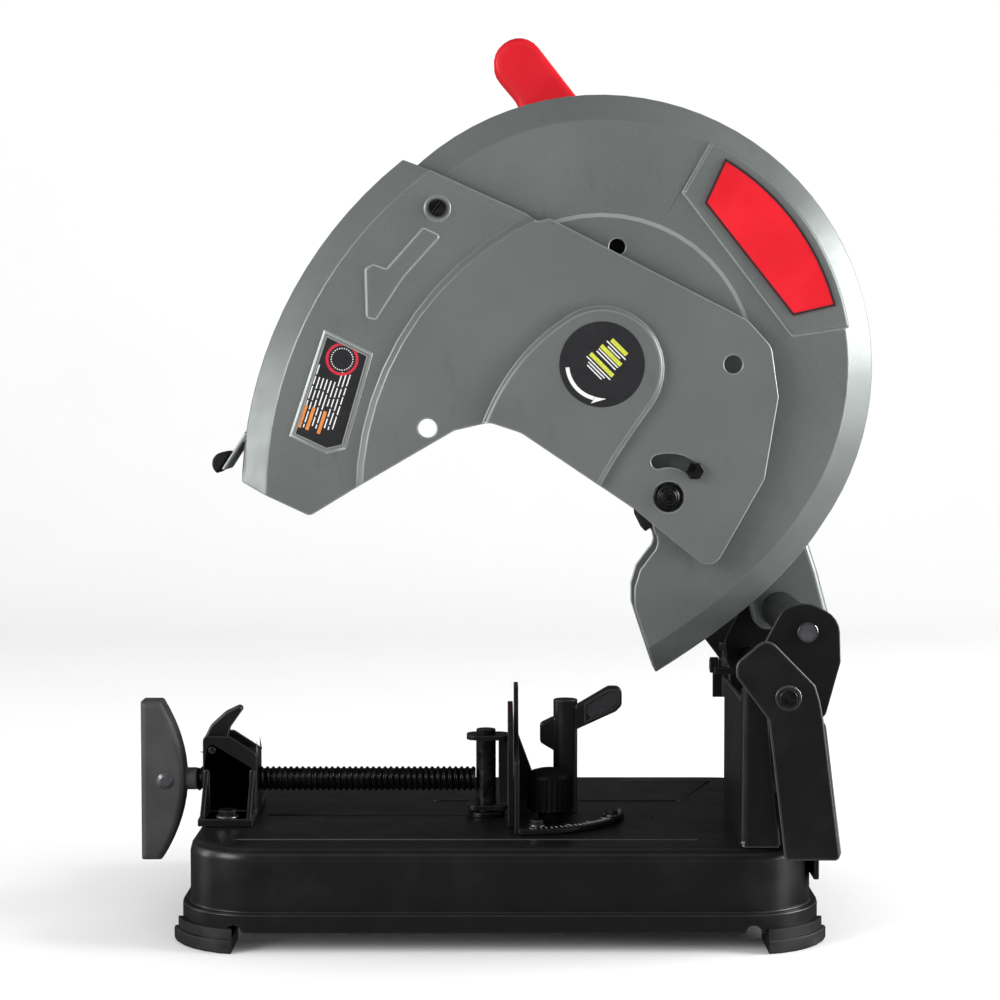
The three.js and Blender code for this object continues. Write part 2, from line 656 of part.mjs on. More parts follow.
function upperGuard() {
  const { near, far, wall, bevelWide, bevelDeep } = GUARD;
  const edge = { size: bevelWide, deep: bevelDeep, steps: 1, curve: 26 };
  const outside = prismY(guardRim(), near, far + bevelDeep, edge);
  const inside = prismY(guardRim(), near + wall, far - wall + bevelDeep, { ...edge, inset: wall });
  const kept = prismY(guardKept(), near - 1, far, { curve: 4 });
  const hollow = inside.intersect(slab(0, far - wall));
  const hub = turnedY(WHEEL.x, WHEEL.z, [[0, 24.8], [100, 24.8], [107, 27.2], [107, 28.5], [0, 28.5]], 48);
  const padShape = badgeOutline(172.5, 9.5, 64, [[124.9, 488.4], [200.1, 390.4]]);
  const pad = prismY(padShape, 24.6, 31, { size: 1.6, steps: 1, curve: 10 });
  const shell = cut(outside.intersect(kept), hollow);
  const raised = join(hub.intersect(kept), pad);
  const spindleHole = rodY(WHEEL.x, WHEEL.z, 34, far - 6, far + 2, 32);
  const pivotHole = rodY(SWING.x, SWING.z, 5.3, near - 4, near + 4);
  const [limitX, limitZ] = slotPoint(SLOT.from);
  const limitHole = rodY(limitX, limitZ, 3.3, near - 4, near + 4, 16);
  const rimHole = rodY(80.1, 451.3, 5.5, near - 4, near + 4);
  return cut(join(shell, raised), spindleHole, pivotHole, limitHole, rimHole);
}

function slotPoint(degrees) {
  return [SWING.x + SLOT.r * Math.cos(rad(degrees)), SWING.z + SLOT.r * Math.sin(rad(degrees))];
}

function badgePlate() {
  const shape = badgeOutline(166, 15, 59.5, [[139.4, 480.8], [200.1, 404.2]]);
  return prismY(shape, 23.2, 24.3, { size: 0.4, steps: 1, curve: 8 });
}

function sparkDeflector() {
  const flap = outline([[94, 274], [102.4, 270], [105, 259.5], [100, 256], [95, 266]]);
  return prismY(flap, GUARD.near + GUARD.wall + GAP, GUARD.far - 4);
}

add(head, "upper_guard", upperGuard(), CAST_GREY);
add(head, "badge_plate", badgePlate(), RED_PLASTIC);
add(head, "spark_deflector", sparkDeflector(), RUBBER);

// ---------------------------------------------------------------- lower guard
function swingRim() {
  const shape = new THREE.Shape();
  shape.absarc(SWING.x, SWING.z, SWING.r, 0, Math.PI, false);
  shape.lineTo(SWING.x - SWING.r, 180);
  shape.lineTo(SWING.x + SWING.r, 180);
  return shape;
}

function swingPlate() {
  return outline([[-68, 512, 4], [17.8, 473.3, 3], [25.4, 467.8, 3], [33.6, 469.8, 3], [168.1, 401.2, 8],
    [184.6, 383, 12], [189.6, 348.6, 8], [180.4, 292.8, 5], [144.8, 229, 10], [105, 261.3, 4],
    [91.9, 272.2, 3], [14.4, 324.4, 14], [-7, 331.5, 12], [-31, 326, 10],
    [-94, 289.4, 4], [-130, 267.5, 5], [-172.6, 287.3, 6],
    [-188, 295, 1], [-260, 420, 1]]);
}

// The hub boss: a round cap over the spindle that runs out to the plate's lower edge.
function hubBoss() {
  const shape = new THREE.Shape();
  const [radius, from, to] = [42, rad(-36), rad(122)];
  shape.moveTo(62, 270);
  shape.quadraticCurveTo(62, 287, WHEEL.x + radius * Math.cos(from), WHEEL.z + radius * Math.sin(from));
  shape.absarc(WHEEL.x, WHEEL.z, radius, from, to, false);
  shape.quadraticCurveTo(2, 375.7, -16, 318);
  shape.lineTo(8, 270);
  return shape;
}

function limitSlot(y0, y1) {
  const shape = new THREE.Shape();
  const { r, half, from, to } = SLOT;
  shape.absarc(SWING.x, SWING.z, r + half, rad(from), rad(to), false);
  shape.absarc(...slotPoint(to), half, rad(to), rad(to + 180), false);
  shape.absarc(SWING.x, SWING.z, r - half, rad(to), rad(from), true);
  shape.absarc(...slotPoint(from), half, rad(from + 180), rad(from + 360), false);
  return prismY(shape, y0, y1, { curve: 5 });
}

const PIVOT_COLLAR = 10.1;

// The flared front lip, as the two ends of its outer side.
const LIP = { top: [-176, 324], tip: [-192.3, 299] };

function swingShell() {
  const { face, back, wall, bevelWide, bevelDeep } = SWING;
  const edge = { size: bevelWide, deep: bevelDeep, steps: 1, curve: 28 };
  const outside = prismY(swingRim(), face, back + bevelDeep, edge);
  const hollow = prismY(swingRim(), face + wall, back + bevelDeep + 40, { ...edge, inset: wall });
  const kept = prismY(swingPlate(), 0, back);
  const sector = turnedY(SWING.x, SWING.z, [[0, 13], [209, 13], [213.5, 17.3], [213.5, 18], [0, 18]], 60);
  const boss = prismY(hubBoss(), 6, 28, { size: 3, steps: 2, curve: 12 });
  const inFront = slab(0, face + wall - 0.05);
  const arrow = prismY(
    outline([[-52, 463.5, 2], [-40.5, 458, 2], [-66, 430, 60], [-84.5, 401.5, 2], [-90.5, 403, 2],
      [-91.3, 436, 3], [-86, 438.5, 2], [-77, 435.5, 2]]),
    15.8,
    18,
  );
  const raised = join(sector, boss, arrow).intersect(inFront).intersect(kept);
  const frontLip = prismY(outline([LIP.top, [-173.8, 323], [-190, 298], LIP.tip]), 34, back);
  const body = join(cut(outside.intersect(kept), hollow), raised, frontLip);
  const holes = [
    rodY(SWING.x, SWING.z, PIVOT_COLLAR + GAP, 0, 30, 28),
    limitSlot(0, 30),
    rodY(158.5, 371, 6.2, 0, 30),
    rodY(-49.4, 327.6, 6.5, 0, 30),
    rodY(-42.5, 476.7, 3.3, 0, 30, 16),
  ];
  return cut(body, ...holes);
}

// A shouldered bolt: its collar fills the bearing hole in the lower guard.
function pivotBolt() {
  const { x, z } = SWING;
  const button = [[0, 9.5], [6, 9.5], [7.4, 10.6], [7.4, 13.4]];
  const collar = [[PIVOT_COLLAR, 13.4], [PIVOT_COLLAR, 17.5]];
  return turnedY(x, z, [...button, ...collar, [5, 17.5], [5, 34], [0, 34]], 28);
}

function limitBolt() {
  const [x, z] = slotPoint(SLOT.from);
  return boltY(x, z, 6.4, 7.4, 12.6, 3, 33, rad(30));
}

// A half-round rubber strip, flat against the front lip.
function guardBumper() {
  const lip = new THREE.Vector2(LIP.tip[0] - LIP.top[0], LIP.tip[1] - LIP.top[1]);
  const flat = lip.angle();
  const outward = new THREE.Vector2(-lip.y, lip.x).setLength(-GAP);
  const [x, z] = [LIP.tip[0] + 1.4 + outward.x, LIP.tip[1] + 3.5 + outward.y];
  const shape = new THREE.Shape();
  shape.absarc(x, z, 8, flat - Math.PI, flat, false);
  return prismY(shape, 36, 76, { size: 1, steps: 1, curve: 6 });
}

const coverScrew = () =>
  join(rodY(-42.5, 476.7, 6, 13.6, 16.7, 24), rodY(-42.5, 476.7, 3, 16, 24, 16));

add(lowerGuard, "lower_guard", swingShell(), CAST_GREY);
add(lowerGuard, "guard_cover_screw", coverScrew(), BLACK_OXIDE);
add(lowerGuard, "guard_bumper", guardBumper(), RUBBER);
add(head, "guard_pivot_bolt", pivotBolt(), BLACK_OXIDE);
add(head, "guard_limit_bolt", limitBolt(), BLACK_OXIDE);

// ---------------------------------------------------------------- vise
const BRACKET = { front: -200, rear: -163.5, halfY: 15, plate: 3.5 };
const BRACKET_BOLTS = { x: -181, ys: [-36, 36] };

// Two upright side plates on a flange, ribbed outwards, with a block between them for the nut's thread.
function viseBracket() {
  const { front, rear, halfY, plate } = BRACKET;
  const floor = TABLE.top + GAP;
  const flange = block(front, rear, -43, 43, floor, floor + 5);
  const nut = prismX(
    outline([[-halfY, 69], [halfY, 69], [halfY, 98, 4], [12, 110, 4], [-12, 110, 4], [-halfY, 98, 4]]),
    front,
    rear,
  );
  const side = outline([[front, 66], [rear, 66], [rear, 109, 4], [-182, 121, 3], [front, 121, 3]]);
  const sides = [-halfY, halfY - plate].map((y) => prismY(side, y, y + plate));
  const ribs = [-199, -168].flatMap((x) => [
    prismX(outline([[-42, 69], [1 - halfY, 69], [1 - halfY, 99]]), x, x + 3),
    prismX(outline([[42, 69], [halfY - 1, 99], [halfY - 1, 69]]), x, x + 3),
  ]);
  const bore = rodX(0, SCREW.z, SCREW.r + 0.4, front - 10, rear + 10, 28);
  const leverSlot = block(front - 10, -176, -5.2, 5.2, 101.5, 130);
  const pinBore = rodY(RELEASE.x, RELEASE.z, 2.8, -20, 20, 16);
  const boltHoles = BRACKET_BOLTS.ys.map((y) => rodZ(BRACKET_BOLTS.x, y, 3.3, 60, 80, 16));
  return cut(join(flange, nut, ...sides, ...ribs), bore, leverSlot, pinBore, ...boltHoles);
}

function releaseLever() {
  const horn = outline([[-200, 106, 5], [-187, 105, 5], [-184.2, 118, 2], [-183, 125, 4], [-173.7, 138.1, 2],
    [-176.4, 140.5, 2], [-186, 136, 10], [-196, 127, 8], [-201.2, 116.4, 4]]);
  return cut(prismY(horn, -4.8, 4.8, { size: 1, steps: 1 }), rodY(RELEASE.x, RELEASE.z, 2.8, -6, 6, 16));
}

function crankHandle() {
  const half = 54;
  const flat = -242.6;
  const shape = new THREE.Shape();
  shape.moveTo(flat, SCREW.z - half);
  shape.lineTo(flat + 13.5, SCREW.z - half);
  shape.quadraticCurveTo(flat + 45.7, SCREW.z, flat + 13.5, SCREW.z + half);
  shape.lineTo(flat, SCREW.z + half);
  const plate = prismY(shape, -11, 11, { size: 3, deep: 2, steps: 1, curve: 16 });
  const neck = rodX(0, SCREW.z, 7.5, -216, SCREW.from - GAP, 28);
  return cut(join(plate, neck), rodY(-226, SCREW.z, 4.3, -20, 20));
}

const crankRivet = () => {
  const profile = [[0, -13], [3.4, -13], [6, -11.3], [4, -11.3], [4, 11.3], [6, 11.3], [3.4, 13], [0, 13]];
  return turnedY(-226, SCREW.z, profile, 24);
};

const JAW = { face: 5.3, sheet: 3.6, halfY: 46, low: 66, high: 137, hinge: 117.5, lug: 3, pin: 4 };

// The tube that the jaw swivels on, headed over above the jaw's top lug.
function jawPost() {
  const floor = TABLE.top + GAP;
  const lugTop = JAW.hinge + JAW.lug;
  return join(
    rodZ(POST.x, 0, POST.r, floor, JAW.hinge - GAP),
    rodZ(POST.x, 0, 13, floor, floor + 3, 32),
    rodZ(POST.x, 0, 3.4, 52, floor + 1, 16),
    rodZ(POST.x, 0, JAW.pin, floor + 4, lugTop + 1),
    rodZ(POST.x, 0, 6.5, lugTop + GAP, lugTop + GAP + 3.2, 28),
  );
}

// The jaw plate with a toothed top, held to the post by an upper and a lower lug.
function jaw() {
  const { face, sheet, halfY, low, high, hinge, lug, pin } = JAW;
  const teeth = 10;
  const profile = [[-halfY, low], [halfY, low]];
  for (let i = 0; i < teeth; i += 1) {
    const y = halfY - (i * 2 * halfY) / teeth;
    profile.push([y, high - 2.4], [y - halfY / teeth, high]);
  }
  profile.push([-halfY, high - 2.4]);
  const plate = prismX(outline(profile), face, face + sheet);
  const web = block(-1, face + 0.7, -4, 4, 71, hinge + 0.5);
  const lugShape = () => roundedRectangle(14.3, 11, 7, -8.3, 0);
  const lugs = [hinge, 70].map((z) => prismZ(lugShape(), z, z + lug, { curve: 4 }));
  const bore = rodZ(POST.x, 0, POST.r + GAP, low, hinge - 0.1, 28);
  const pinBore = rodZ(POST.x, 0, pin + GAP, hinge - 1, hinge + lug + 1);
  return cut(join(plate, web, ...lugs), bore, pinBore);
}

add(base, "vise_bracket", viseBracket(), PAINTED_BLACK);
add(base, "lever_pin", rodY(RELEASE.x, RELEASE.z, 2.5, -BRACKET.halfY - 1, BRACKET.halfY + 1, 16), STEEL);
["bracket_bolt_near", "bracket_bolt_far"].forEach((name, i) => {
  add(base, name, boltZ(BRACKET_BOLTS.x, BRACKET_BOLTS.ys[i], 6.5, 70.6, 75.6, 3, 66), BLACK_OXIDE);
});
add(vise, "release_lever", releaseLever(), PAINTED_BLACK);
add(vise, "crank_handle", crankHandle(), DARK_PLASTIC);
add(vise, "crank_rivet", crankRivet(), BLACK_OXIDE);
add(vise, "vise_screw", rodX(0, SCREW.z, SCREW.r, SCREW.from, SCREW.to, 28), BLACK_OXIDE);
add(vise, "jaw_post", jawPost(), BLACK_OXIDE);
add(vise, "vise_jaw", jaw(), PAINTED_BLACK);

// ---------------------------------------------------------------- fence
function fenceBody() {
  const floor = TABLE.top + GAP;
  const { face, sheet, near, far, low, high, plate, sectorR } = FENCE;
  const [lowZ, highZ, plateZ] = [TABLE.top + low, TABLE.top + high, floor + plate];
  const wall = prismX(
    outline([[near, floor], [far, floor], [far, highZ, 4], [14, highZ, 4], [-14, lowZ, 8], [near, lowZ, 4]]),
    face,
    face + sheet,
  );
  const sector = new THREE.Shape();
  sector.moveTo(face + sheet - 1, 0);
  sector.absarc(face + sheet, 0, sectorR, rad(-90), 0, false);
  sector.lineTo(face + sheet + 20, 34);
  sector.lineTo(face + sheet - 1, 34);
  const foot = prismZ(sector, floor, plateZ, { size: 0.8, steps: 1, curve: 8 });
  const gusset = prismY(outline([[face + 1, plateZ - 1], [face + 21, plateZ - 1], [face + 1, 122]]), 24, 28);
  const holes = FENCE_BOLTS.map(([x, y]) => rodZ(x, y, 3.3, floor - 1, plateZ + 1, 16));
  return cut(join(wall, foot, gusset), ...holes);
}

const FENCE_BOLTS = [
  [24, -62],
  [74.6, -27],
];

function knob() {
  const ridges = 24;
  const grip = new THREE.Shape();
  for (let i = 0; i <= ridges * 2; i += 1) {
    const r = KNOB.r - (i % 2) * 1.1;
    const angle = (i * Math.PI) / ridges;
    const [x, y] = [KNOB.x + r * Math.cos(angle), KNOB.y + r * Math.sin(angle)];
    if (i === 0) grip.moveTo(x, y);
    else if (i < ridges * 2) grip.lineTo(x, y);
  }
  const neck = rodZ(KNOB.x, KNOB.y, 8, TABLE.top + GAP * 2 + FENCE.plate, 80);
  return join(prismZ(grip, 77.5, KNOB.top, { size: 2, steps: 1 }), neck);
}

function clampLever() {
  const { x, y, r, top } = LEVER;
  const paddle = prismY(
    outline([[x + 2, 142], [51.2, 142, 3], [72.7, 154.7, 4], [81.8, 154.7, 5], [81.8, 142, 4], [78, 138, 3],
      [51.2, 125.7, 4], [x + 2, 124]]),
    y - 5,
    y + 5,
    { size: 1.2, steps: 1 },
  );
  const stubShape = outline([[x - 4, 134], [35, 133.8, 3], [26.9, 129.8, 3], [26.9, 117, 3], [x - 4, 109]]);
  const stub = prismY(stubShape, y - 4, y + 4, { size: 1, steps: 1 });
  return join(rodZ(x, y, r, TABLE.top + GAP * 2 + FENCE.plate, top, 28), paddle, stub);
}

add(fence, "fence_plate", fenceBody(), PAINTED_BLACK);
["fence_bolt_near", "fence_bolt_rear"].forEach((name, i) => {
  add(fence, name, boltZ(...FENCE_BOLTS[i], 4.8, 69.8, 74, 3, 66), BLACK_OXIDE);
});
add(fence, "fence_knob", knob(), DARK_PLASTIC);
add(fence, "clamp_lever", clampLever(), PAINTED_BLACK);

export default saw;
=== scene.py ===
"""The look of the abrasive chop saw: finished castings, small parts, paint, labels, stage and light."""

import json
import math
import random

import bmesh
import bpy
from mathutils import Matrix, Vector

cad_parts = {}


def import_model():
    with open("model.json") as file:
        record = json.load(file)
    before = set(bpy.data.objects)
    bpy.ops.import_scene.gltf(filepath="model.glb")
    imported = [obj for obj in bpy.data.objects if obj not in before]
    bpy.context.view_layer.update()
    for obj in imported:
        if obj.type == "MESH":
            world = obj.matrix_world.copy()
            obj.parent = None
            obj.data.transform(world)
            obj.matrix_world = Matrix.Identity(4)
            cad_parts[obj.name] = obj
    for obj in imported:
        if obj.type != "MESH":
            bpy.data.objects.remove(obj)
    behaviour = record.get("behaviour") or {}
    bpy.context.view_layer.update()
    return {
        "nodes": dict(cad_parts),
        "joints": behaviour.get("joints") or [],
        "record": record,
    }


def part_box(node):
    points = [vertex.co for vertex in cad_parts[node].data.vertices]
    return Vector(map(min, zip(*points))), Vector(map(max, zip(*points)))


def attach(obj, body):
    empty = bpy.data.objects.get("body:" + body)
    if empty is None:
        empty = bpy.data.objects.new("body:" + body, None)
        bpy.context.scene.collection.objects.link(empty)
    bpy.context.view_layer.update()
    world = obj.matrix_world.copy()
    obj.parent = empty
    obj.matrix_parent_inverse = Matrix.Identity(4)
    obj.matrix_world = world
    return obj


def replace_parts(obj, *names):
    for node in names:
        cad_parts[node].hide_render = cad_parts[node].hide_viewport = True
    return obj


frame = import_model()
MM = 0.001
random.seed(7)

BODY_OF = {node: body for body, nodes in frame["record"]["behaviour"]["bodies"].items() for node in nodes}
SLOT_OF = {part["node"]: part["material_slot"] for part in frame["record"]["subparts"]}
JOINTS = {joint["name"]: joint for joint in frame["joints"]}


def anchor(joint):
    """A point on a hinge's axis."""
    return Vector(JOINTS[joint]["pos_m"])


HUB = anchor("spindle_spin")
SWING = anchor("lower_guard_swing")
MOTOR = anchor("rotor_spin")
SCREW = anchor("vise_screw_turn")


def near_face(node):
    """The lowest y of a node: the side that faces the operator."""
    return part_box(node)[0][1]


def middle(node):
    low, high = (Vector(corner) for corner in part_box(node))
    return (low + high) / 2


# ------------------------------------------------------------------ materials
class Finish:
    """A node material, built from small steps in the object's own coordinates."""

    def __init__(self, name):
        self.material = bpy.data.materials.new(name)
        self.material.use_nodes = True
        tree = self.material.node_tree
        self.nodes, self.links = tree.nodes, tree.links
        self.shader = self.nodes["Principled BSDF"]
        self.place = self.nodes.new("ShaderNodeTexCoord").outputs["Object"]
        self.normal = None

    def join(self, output, socket):
        self.links.new(output, socket)

    def stretched(self, scale):
        mapping = self.nodes.new("ShaderNodeMapping")
        mapping.inputs["Scale"].default_value = scale
        self.join(self.place, mapping.inputs["Vector"])
        return mapping.outputs["Vector"]

    def noise(self, scale, detail=3.0, stretch=None):
        node = self.nodes.new("ShaderNodeTexNoise")
        node.inputs["Scale"].default_value = scale
        node.inputs["Detail"].default_value = detail
        self.join(self.stretched(stretch) if stretch else self.place, node.inputs["Vector"])
        return node.outputs["Fac"]

    def remap(self, value, low, high, to_low=0.0, to_high=1.0):
        node = self.nodes.new("ShaderNodeMapRange")
        for name, number in zip(("From Min", "From Max", "To Min", "To Max"), (low, high, to_low, to_high)):
            node.inputs[name].default_value = number
        self.join(value, node.inputs["Value"])
        return node.outputs["Result"]

    def blend(self, factor, first, second):
        node = self.nodes.new("ShaderNodeMix")
        node.data_type = "RGBA"
        self.join(factor, node.inputs["Factor"])
        for socket, colour in ((node.inputs[6], first), (node.inputs[7], second)):
            if isinstance(colour, tuple):
                socket.default_value = (*colour, 1)
            else:
                self.join(colour, socket)
        return node.outputs[2]

    def edges(self, radius):
        """1 on rounded corners, 0 on flat faces."""
        rounded = self.nodes.new("ShaderNodeBevel")
        rounded.samples = 4
        rounded.inputs["Radius"].default_value = radius
        geometry = self.nodes.new("ShaderNodeNewGeometry")
        dot = self.nodes.new("ShaderNodeVectorMath")
        dot.operation = "DOT_PRODUCT"
        self.join(rounded.outputs["Normal"], dot.inputs[0])
        self.join(geometry.outputs["True Normal"], dot.inputs[1])
        return self.remap(dot.outputs["Value"], 0.99, 0.86)

    def bump(self, height, distance, strength=1.0):
        node = self.nodes.new("ShaderNodeBump")
        node.inputs["Distance"].default_value = distance
        node.inputs["Strength"].default_value = strength
        self.join(height, node.inputs["Height"])
        if self.normal:
            self.join(self.normal, node.inputs["Normal"])
        self.normal = node.outputs["Normal"]

    def done(self, colour, roughness, metallic=0.0, coat=0.0, specular=0.5):
        shader = self.shader
        for socket, value in (("Base Color", colour), ("Roughness", roughness)):
            if isinstance(value, tuple):
                shader.inputs[socket].default_value = (*value, 1)
            elif isinstance(value, (int, float)):
                shader.inputs[socket].default_value = value
            else:
                self.join(value, shader.inputs[socket])
        shader.inputs["Metallic"].default_value = metallic
        shader.inputs["Coat Weight"].default_value = coat
        shader.inputs["Specular IOR Level"].default_value = specular
        if self.normal:
            self.join(self.normal, shader.inputs["Normal"])
        return self.material


def grey_enamel():
    """Satin enamel with a fine metallic grain, and a near-white painted highlight on every rounded bend."""
    f = Finish("grey_enamel")
    cloud = f.remap(f.noise(9, 4), 0.35, 0.65)
    grain = f.noise(2600, 2)
    body = f.blend(cloud, (0.168, 0.184, 0.178), (0.202, 0.219, 0.212))
    flecked = f.blend(f.remap(grain, 0.56, 0.72), body, (0.27, 0.29, 0.28))
    rubbed = f.blend(f.remap(f.noise(70, 5, (1, 1, 0.3)), 0.62, 0.76, 0, 0.3), flecked, (0.11, 0.12, 0.118))
    # painted highlight: the rounded bends are mixed towards near-white
    colour = f.blend(f.edges(1.1 * MM), rubbed, (0.74, 0.77, 0.75))
    f.bump(f.noise(700, 3), 0.05 * MM, 0.35)
    f.bump(f.noise(14, 2), 0.6 * MM, 0.12)
    return f.done(colour, f.remap(f.noise(40, 4), 0.3, 0.7, 0.30, 0.42), metallic=0.4)


def black_paint(name, edge_wear_and_highlight):
    """Powder coat: orange peel, faint dust, and grey on the corners that is partly edge wear and partly a
    painted highlight.
    """
    f = Finish(name)
    dust = f.remap(f.noise(28, 6), 0.52, 0.8)
    body = f.blend(dust, (0.0075, 0.0076, 0.0085), (0.0125, 0.0128, 0.014))
    # grey on the rounded corners: partly wear, partly a painted highlight
    colour = f.blend(f.remap(f.edges(0.8 * MM), 0, 1, 0, 0.7), body, (edge_wear_and_highlight, edge_wear_and_highlight * 1.03, edge_wear_and_highlight * 1.1))
    f.bump(f.noise(1100, 2), 0.08 * MM, 0.45)
    return f.done(colour, f.remap(f.noise(55, 4), 0.3, 0.7, 0.28, 0.40), specular=0.5)


def black_oxide(name, low, high, bare=0.26):
    """Oiled oxide on steel: mottled, with bare corners."""
    f = Finish(name)
    mottled = f.remap(f.noise(160, 5), 0.4, 0.7)
    body = f.blend(mottled, (low, low, low * 1.1), (high, high, high * 1.07))
    colour = f.blend(f.edges(0.45 * MM), body, (bare, bare * 1.02, bare * 1.04))
    f.bump(f.noise(1800, 2), 0.03 * MM, 0.4)
    return f.done(colour, f.remap(mottled, 0, 1, 0.26, 0.42), metallic=0.75)


def ground_steel():
    f = Finish("ground_steel")
    lines = f.noise(900, 2, (1, 14, 1))
    colour = f.blend(f.remap(lines, 0.4, 0.62), (0.42, 0.43, 0.44), (0.66, 0.67, 0.68))
    f.bump(lines, 0.02 * MM, 0.5)
    return f.done(colour, f.remap(f.noise(60, 4), 0.3, 0.7, 0.22, 0.4), metallic=1.0)


def rubber():
    f = Finish("moulded_rubber")
    bloom = f.remap(f.noise(45, 6), 0.45, 0.75)
    colour = f.blend(bloom, (0.010, 0.010, 0.0105), (0.032, 0.031, 0.030))
    f.bump(f.noise(1500, 3), 0.1 * MM, 0.6)
    return f.done(colour, f.remap(bloom, 0, 1, 0.55, 0.78), specular=0.35)


def dark_nylon(name, low, high, edge_wear_and_highlight=0.15, specular=0.5):
    """Glass-filled nylon: spark-eroded grain, slightly lighter on the corners, partly wear and partly a
    painted highlight.
    """
    f = Finish(name)
    body = f.blend(f.remap(f.noise(32, 5), 0.4, 0.7), low, high)
    # lighter corners: partly wear, partly a painted highlight
    colour = f.blend(f.remap(f.edges(0.7 * MM), 0, 1, 0, 0.6), body, (edge_wear_and_highlight, edge_wear_and_highlight, edge_wear_and_highlight * 1.03))
    f.bump(f.noise(1300, 4), 0.12 * MM, 0.6)
    return f.done(colour, f.remap(f.noise(120, 3), 0.3, 0.7, 0.46, 0.6), specular=specular)


def red_moulding(name, seam=None):
    """Satin red plastic. seam is the y of a mould line that runs round the piece."""
    f = Finish(name)
    body = f.blend(f.remap(f.noise(22, 4), 0.35, 0.7), (0.64, 0.004, 0.013), (0.76, 0.008, 0.022))
    # painted highlight: lighter red on the rounded corners
    colour = f.blend(f.remap(f.edges(0.8 * MM), 0, 1, 0, 0.35), body, (0.88, 0.06, 0.07))
    if seam is not None:
        split = f.nodes.new("ShaderNodeSeparateXYZ")
        f.join(f.place, split.inputs[0])
        offset = f.nodes.new("ShaderNodeMath")
        offset.operation = "COMPARE"
        offset.inputs[1].default_value = seam
        offset.inputs[2].default_value = 0.25 * MM
        f.join(split.outputs["Y"], offset.inputs[0])
        colour = f.blend(offset.outputs[0], colour, (0.20, 0.004, 0.008))
    f.bump(f.noise(1500, 3), 0.06 * MM, 0.5)
    return f.done(colour, f.remap(f.noise(80, 3), 0.3, 0.7, 0.34, 0.48), specular=0.3)


def copper_winding():
    f = Finish("enamelled_copper")
    wires = f.noise(1200, 1, (1, 0.05, 1))
    colour = f.blend(f.remap(wires, 0.42, 0.58), (0.16, 0.05, 0.02), (0.62, 0.26, 0.12))
    f.bump(wires, 0.15 * MM, 0.8)
    return f.done(colour, 0.32, metallic=0.8)


def print_ink(name, colour, shade=0.75):
    """Printed film: a plain ink with a light mottle."""
    f = Finish(name)
    darker = tuple(channel * shade for channel in colour)
    mixed = f.blend(f.remap(f.noise(420, 4), 0.35, 0.75), colour, darker)
    f.bump(f.noise(1600, 2), 0.02 * MM, 0.4)
    return f.done(mixed, f.remap(f.noise(90, 3), 0.3, 0.7, 0.34, 0.5), coat=0.2)


def stage_paper():
    f = Finish("stage_paper")
    colour = f.blend(f.remap(f.noise(3, 2), 0.3, 0.7), (0.955, 0.955, 0.955), (0.97, 0.97, 0.97))
    return f.done(colour, 0.85, specular=0.1)


GRIP_SEAM = middle("d_handle").y
FINISH = {
    "cast_grey": grey_enamel(),
    "painted_black": black_paint("black_powder_coat", 0.10),
    "black_oxide": black_oxide("black_oxide_steel", 0.014, 0.045),
    "steel": ground_steel(),
    "rubber": rubber(),
    "dark_plastic": dark_nylon("dark_nylon", (0.042, 0.043, 0.045), (0.062, 0.063, 0.065)),
    "red_plastic": red_moulding("red_moulding"),
    "copper": copper_winding(),
}
BLACK_NYLON = dark_nylon("black_nylon", (0.001, 0.001, 0.0011), (0.003, 0.003, 0.0031), 0.012, 0.15)
THREAD_STEEL = black_oxide("oiled_thread", 0.004, 0.014, 0.04)
DULL_ZINC = black_oxide("dull_zinc", 0.16, 0.24)
# powder coat with a stronger painted highlight on its rounded corners, for the bright fold lines on the
# tower's near leg and front post
EDGE_HIGHLIGHT_BLACK = black_paint("edge_highlight_powder_coat", 0.26)
OWN_FINISH = {
    "d_handle": red_moulding("red_grip", GRIP_SEAM), "ear_bolt": DULL_ZINC, "crank_rivet": DULL_ZINC,
    "lever_pin": FINISH["black_oxide"], "tower_leg_near": EDGE_HIGHLIGHT_BLACK, "tower_front_post": EDGE_HIGHLIGHT_BLACK,
}
INK_BLACK = print_ink("ink_black", (0.022, 0.022, 0.026))
INK_WHITE = print_ink("ink_white", (0.82, 0.82, 0.80), 0.85)
INK_RED = print_ink("ink_red", (0.62, 0.02, 0.04))
INK_ORANGE = print_ink("ink_orange", (0.78, 0.26, 0.06))
INK_YELLOW = print_ink("ink_yellow", (0.62, 0.66, 0.06))


# ------------------------------------------------------------------ mesh helpers
def piece(name, bm, body, material, smooth_angle=38):
    """Puts a bmesh into the scene as a piece that rides on a CAD body."""
    bmesh.ops.recalc_face_normals(bm, faces=bm.faces)
    mesh = bpy.data.meshes.new(name)
    bm.to_mesh(mesh)
    bm.free()
    mesh.polygons.foreach_set("use_smooth", [True] * len(mesh.polygons))
    mesh.set_sharp_from_angle(angle=math.radians(smooth_angle))
    mesh.materials.append(material)
    made = bpy.data.objects.new(name, mesh)
    bpy.context.scene.collection.objects.link(made)
    weighted = made.modifiers.new("even_faces", "WEIGHTED_NORMAL")
    weighted.keep_sharp = True
    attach(made, body)
    return made


def round_edges(bm, width, angle=32, segments=2):
    """Rounds every edge that turns by more than angle."""
    limit = math.radians(angle)
    sharp = [e for e in bm.edges if len(e.link_faces) == 2 and e.calc_face_angle(0) > limit]
    if sharp:
        bmesh.ops.bevel(
            bm, geom=sharp, offset=width, offset_type="OFFSET", segments=segments, profile=0.5,
            affect="EDGES", clamp_overlap=False, miter_outer="ARC",
        )


def section(bm, points):
    """One ring of vertices."""
    return [bm.verts.new(point) for point in points]


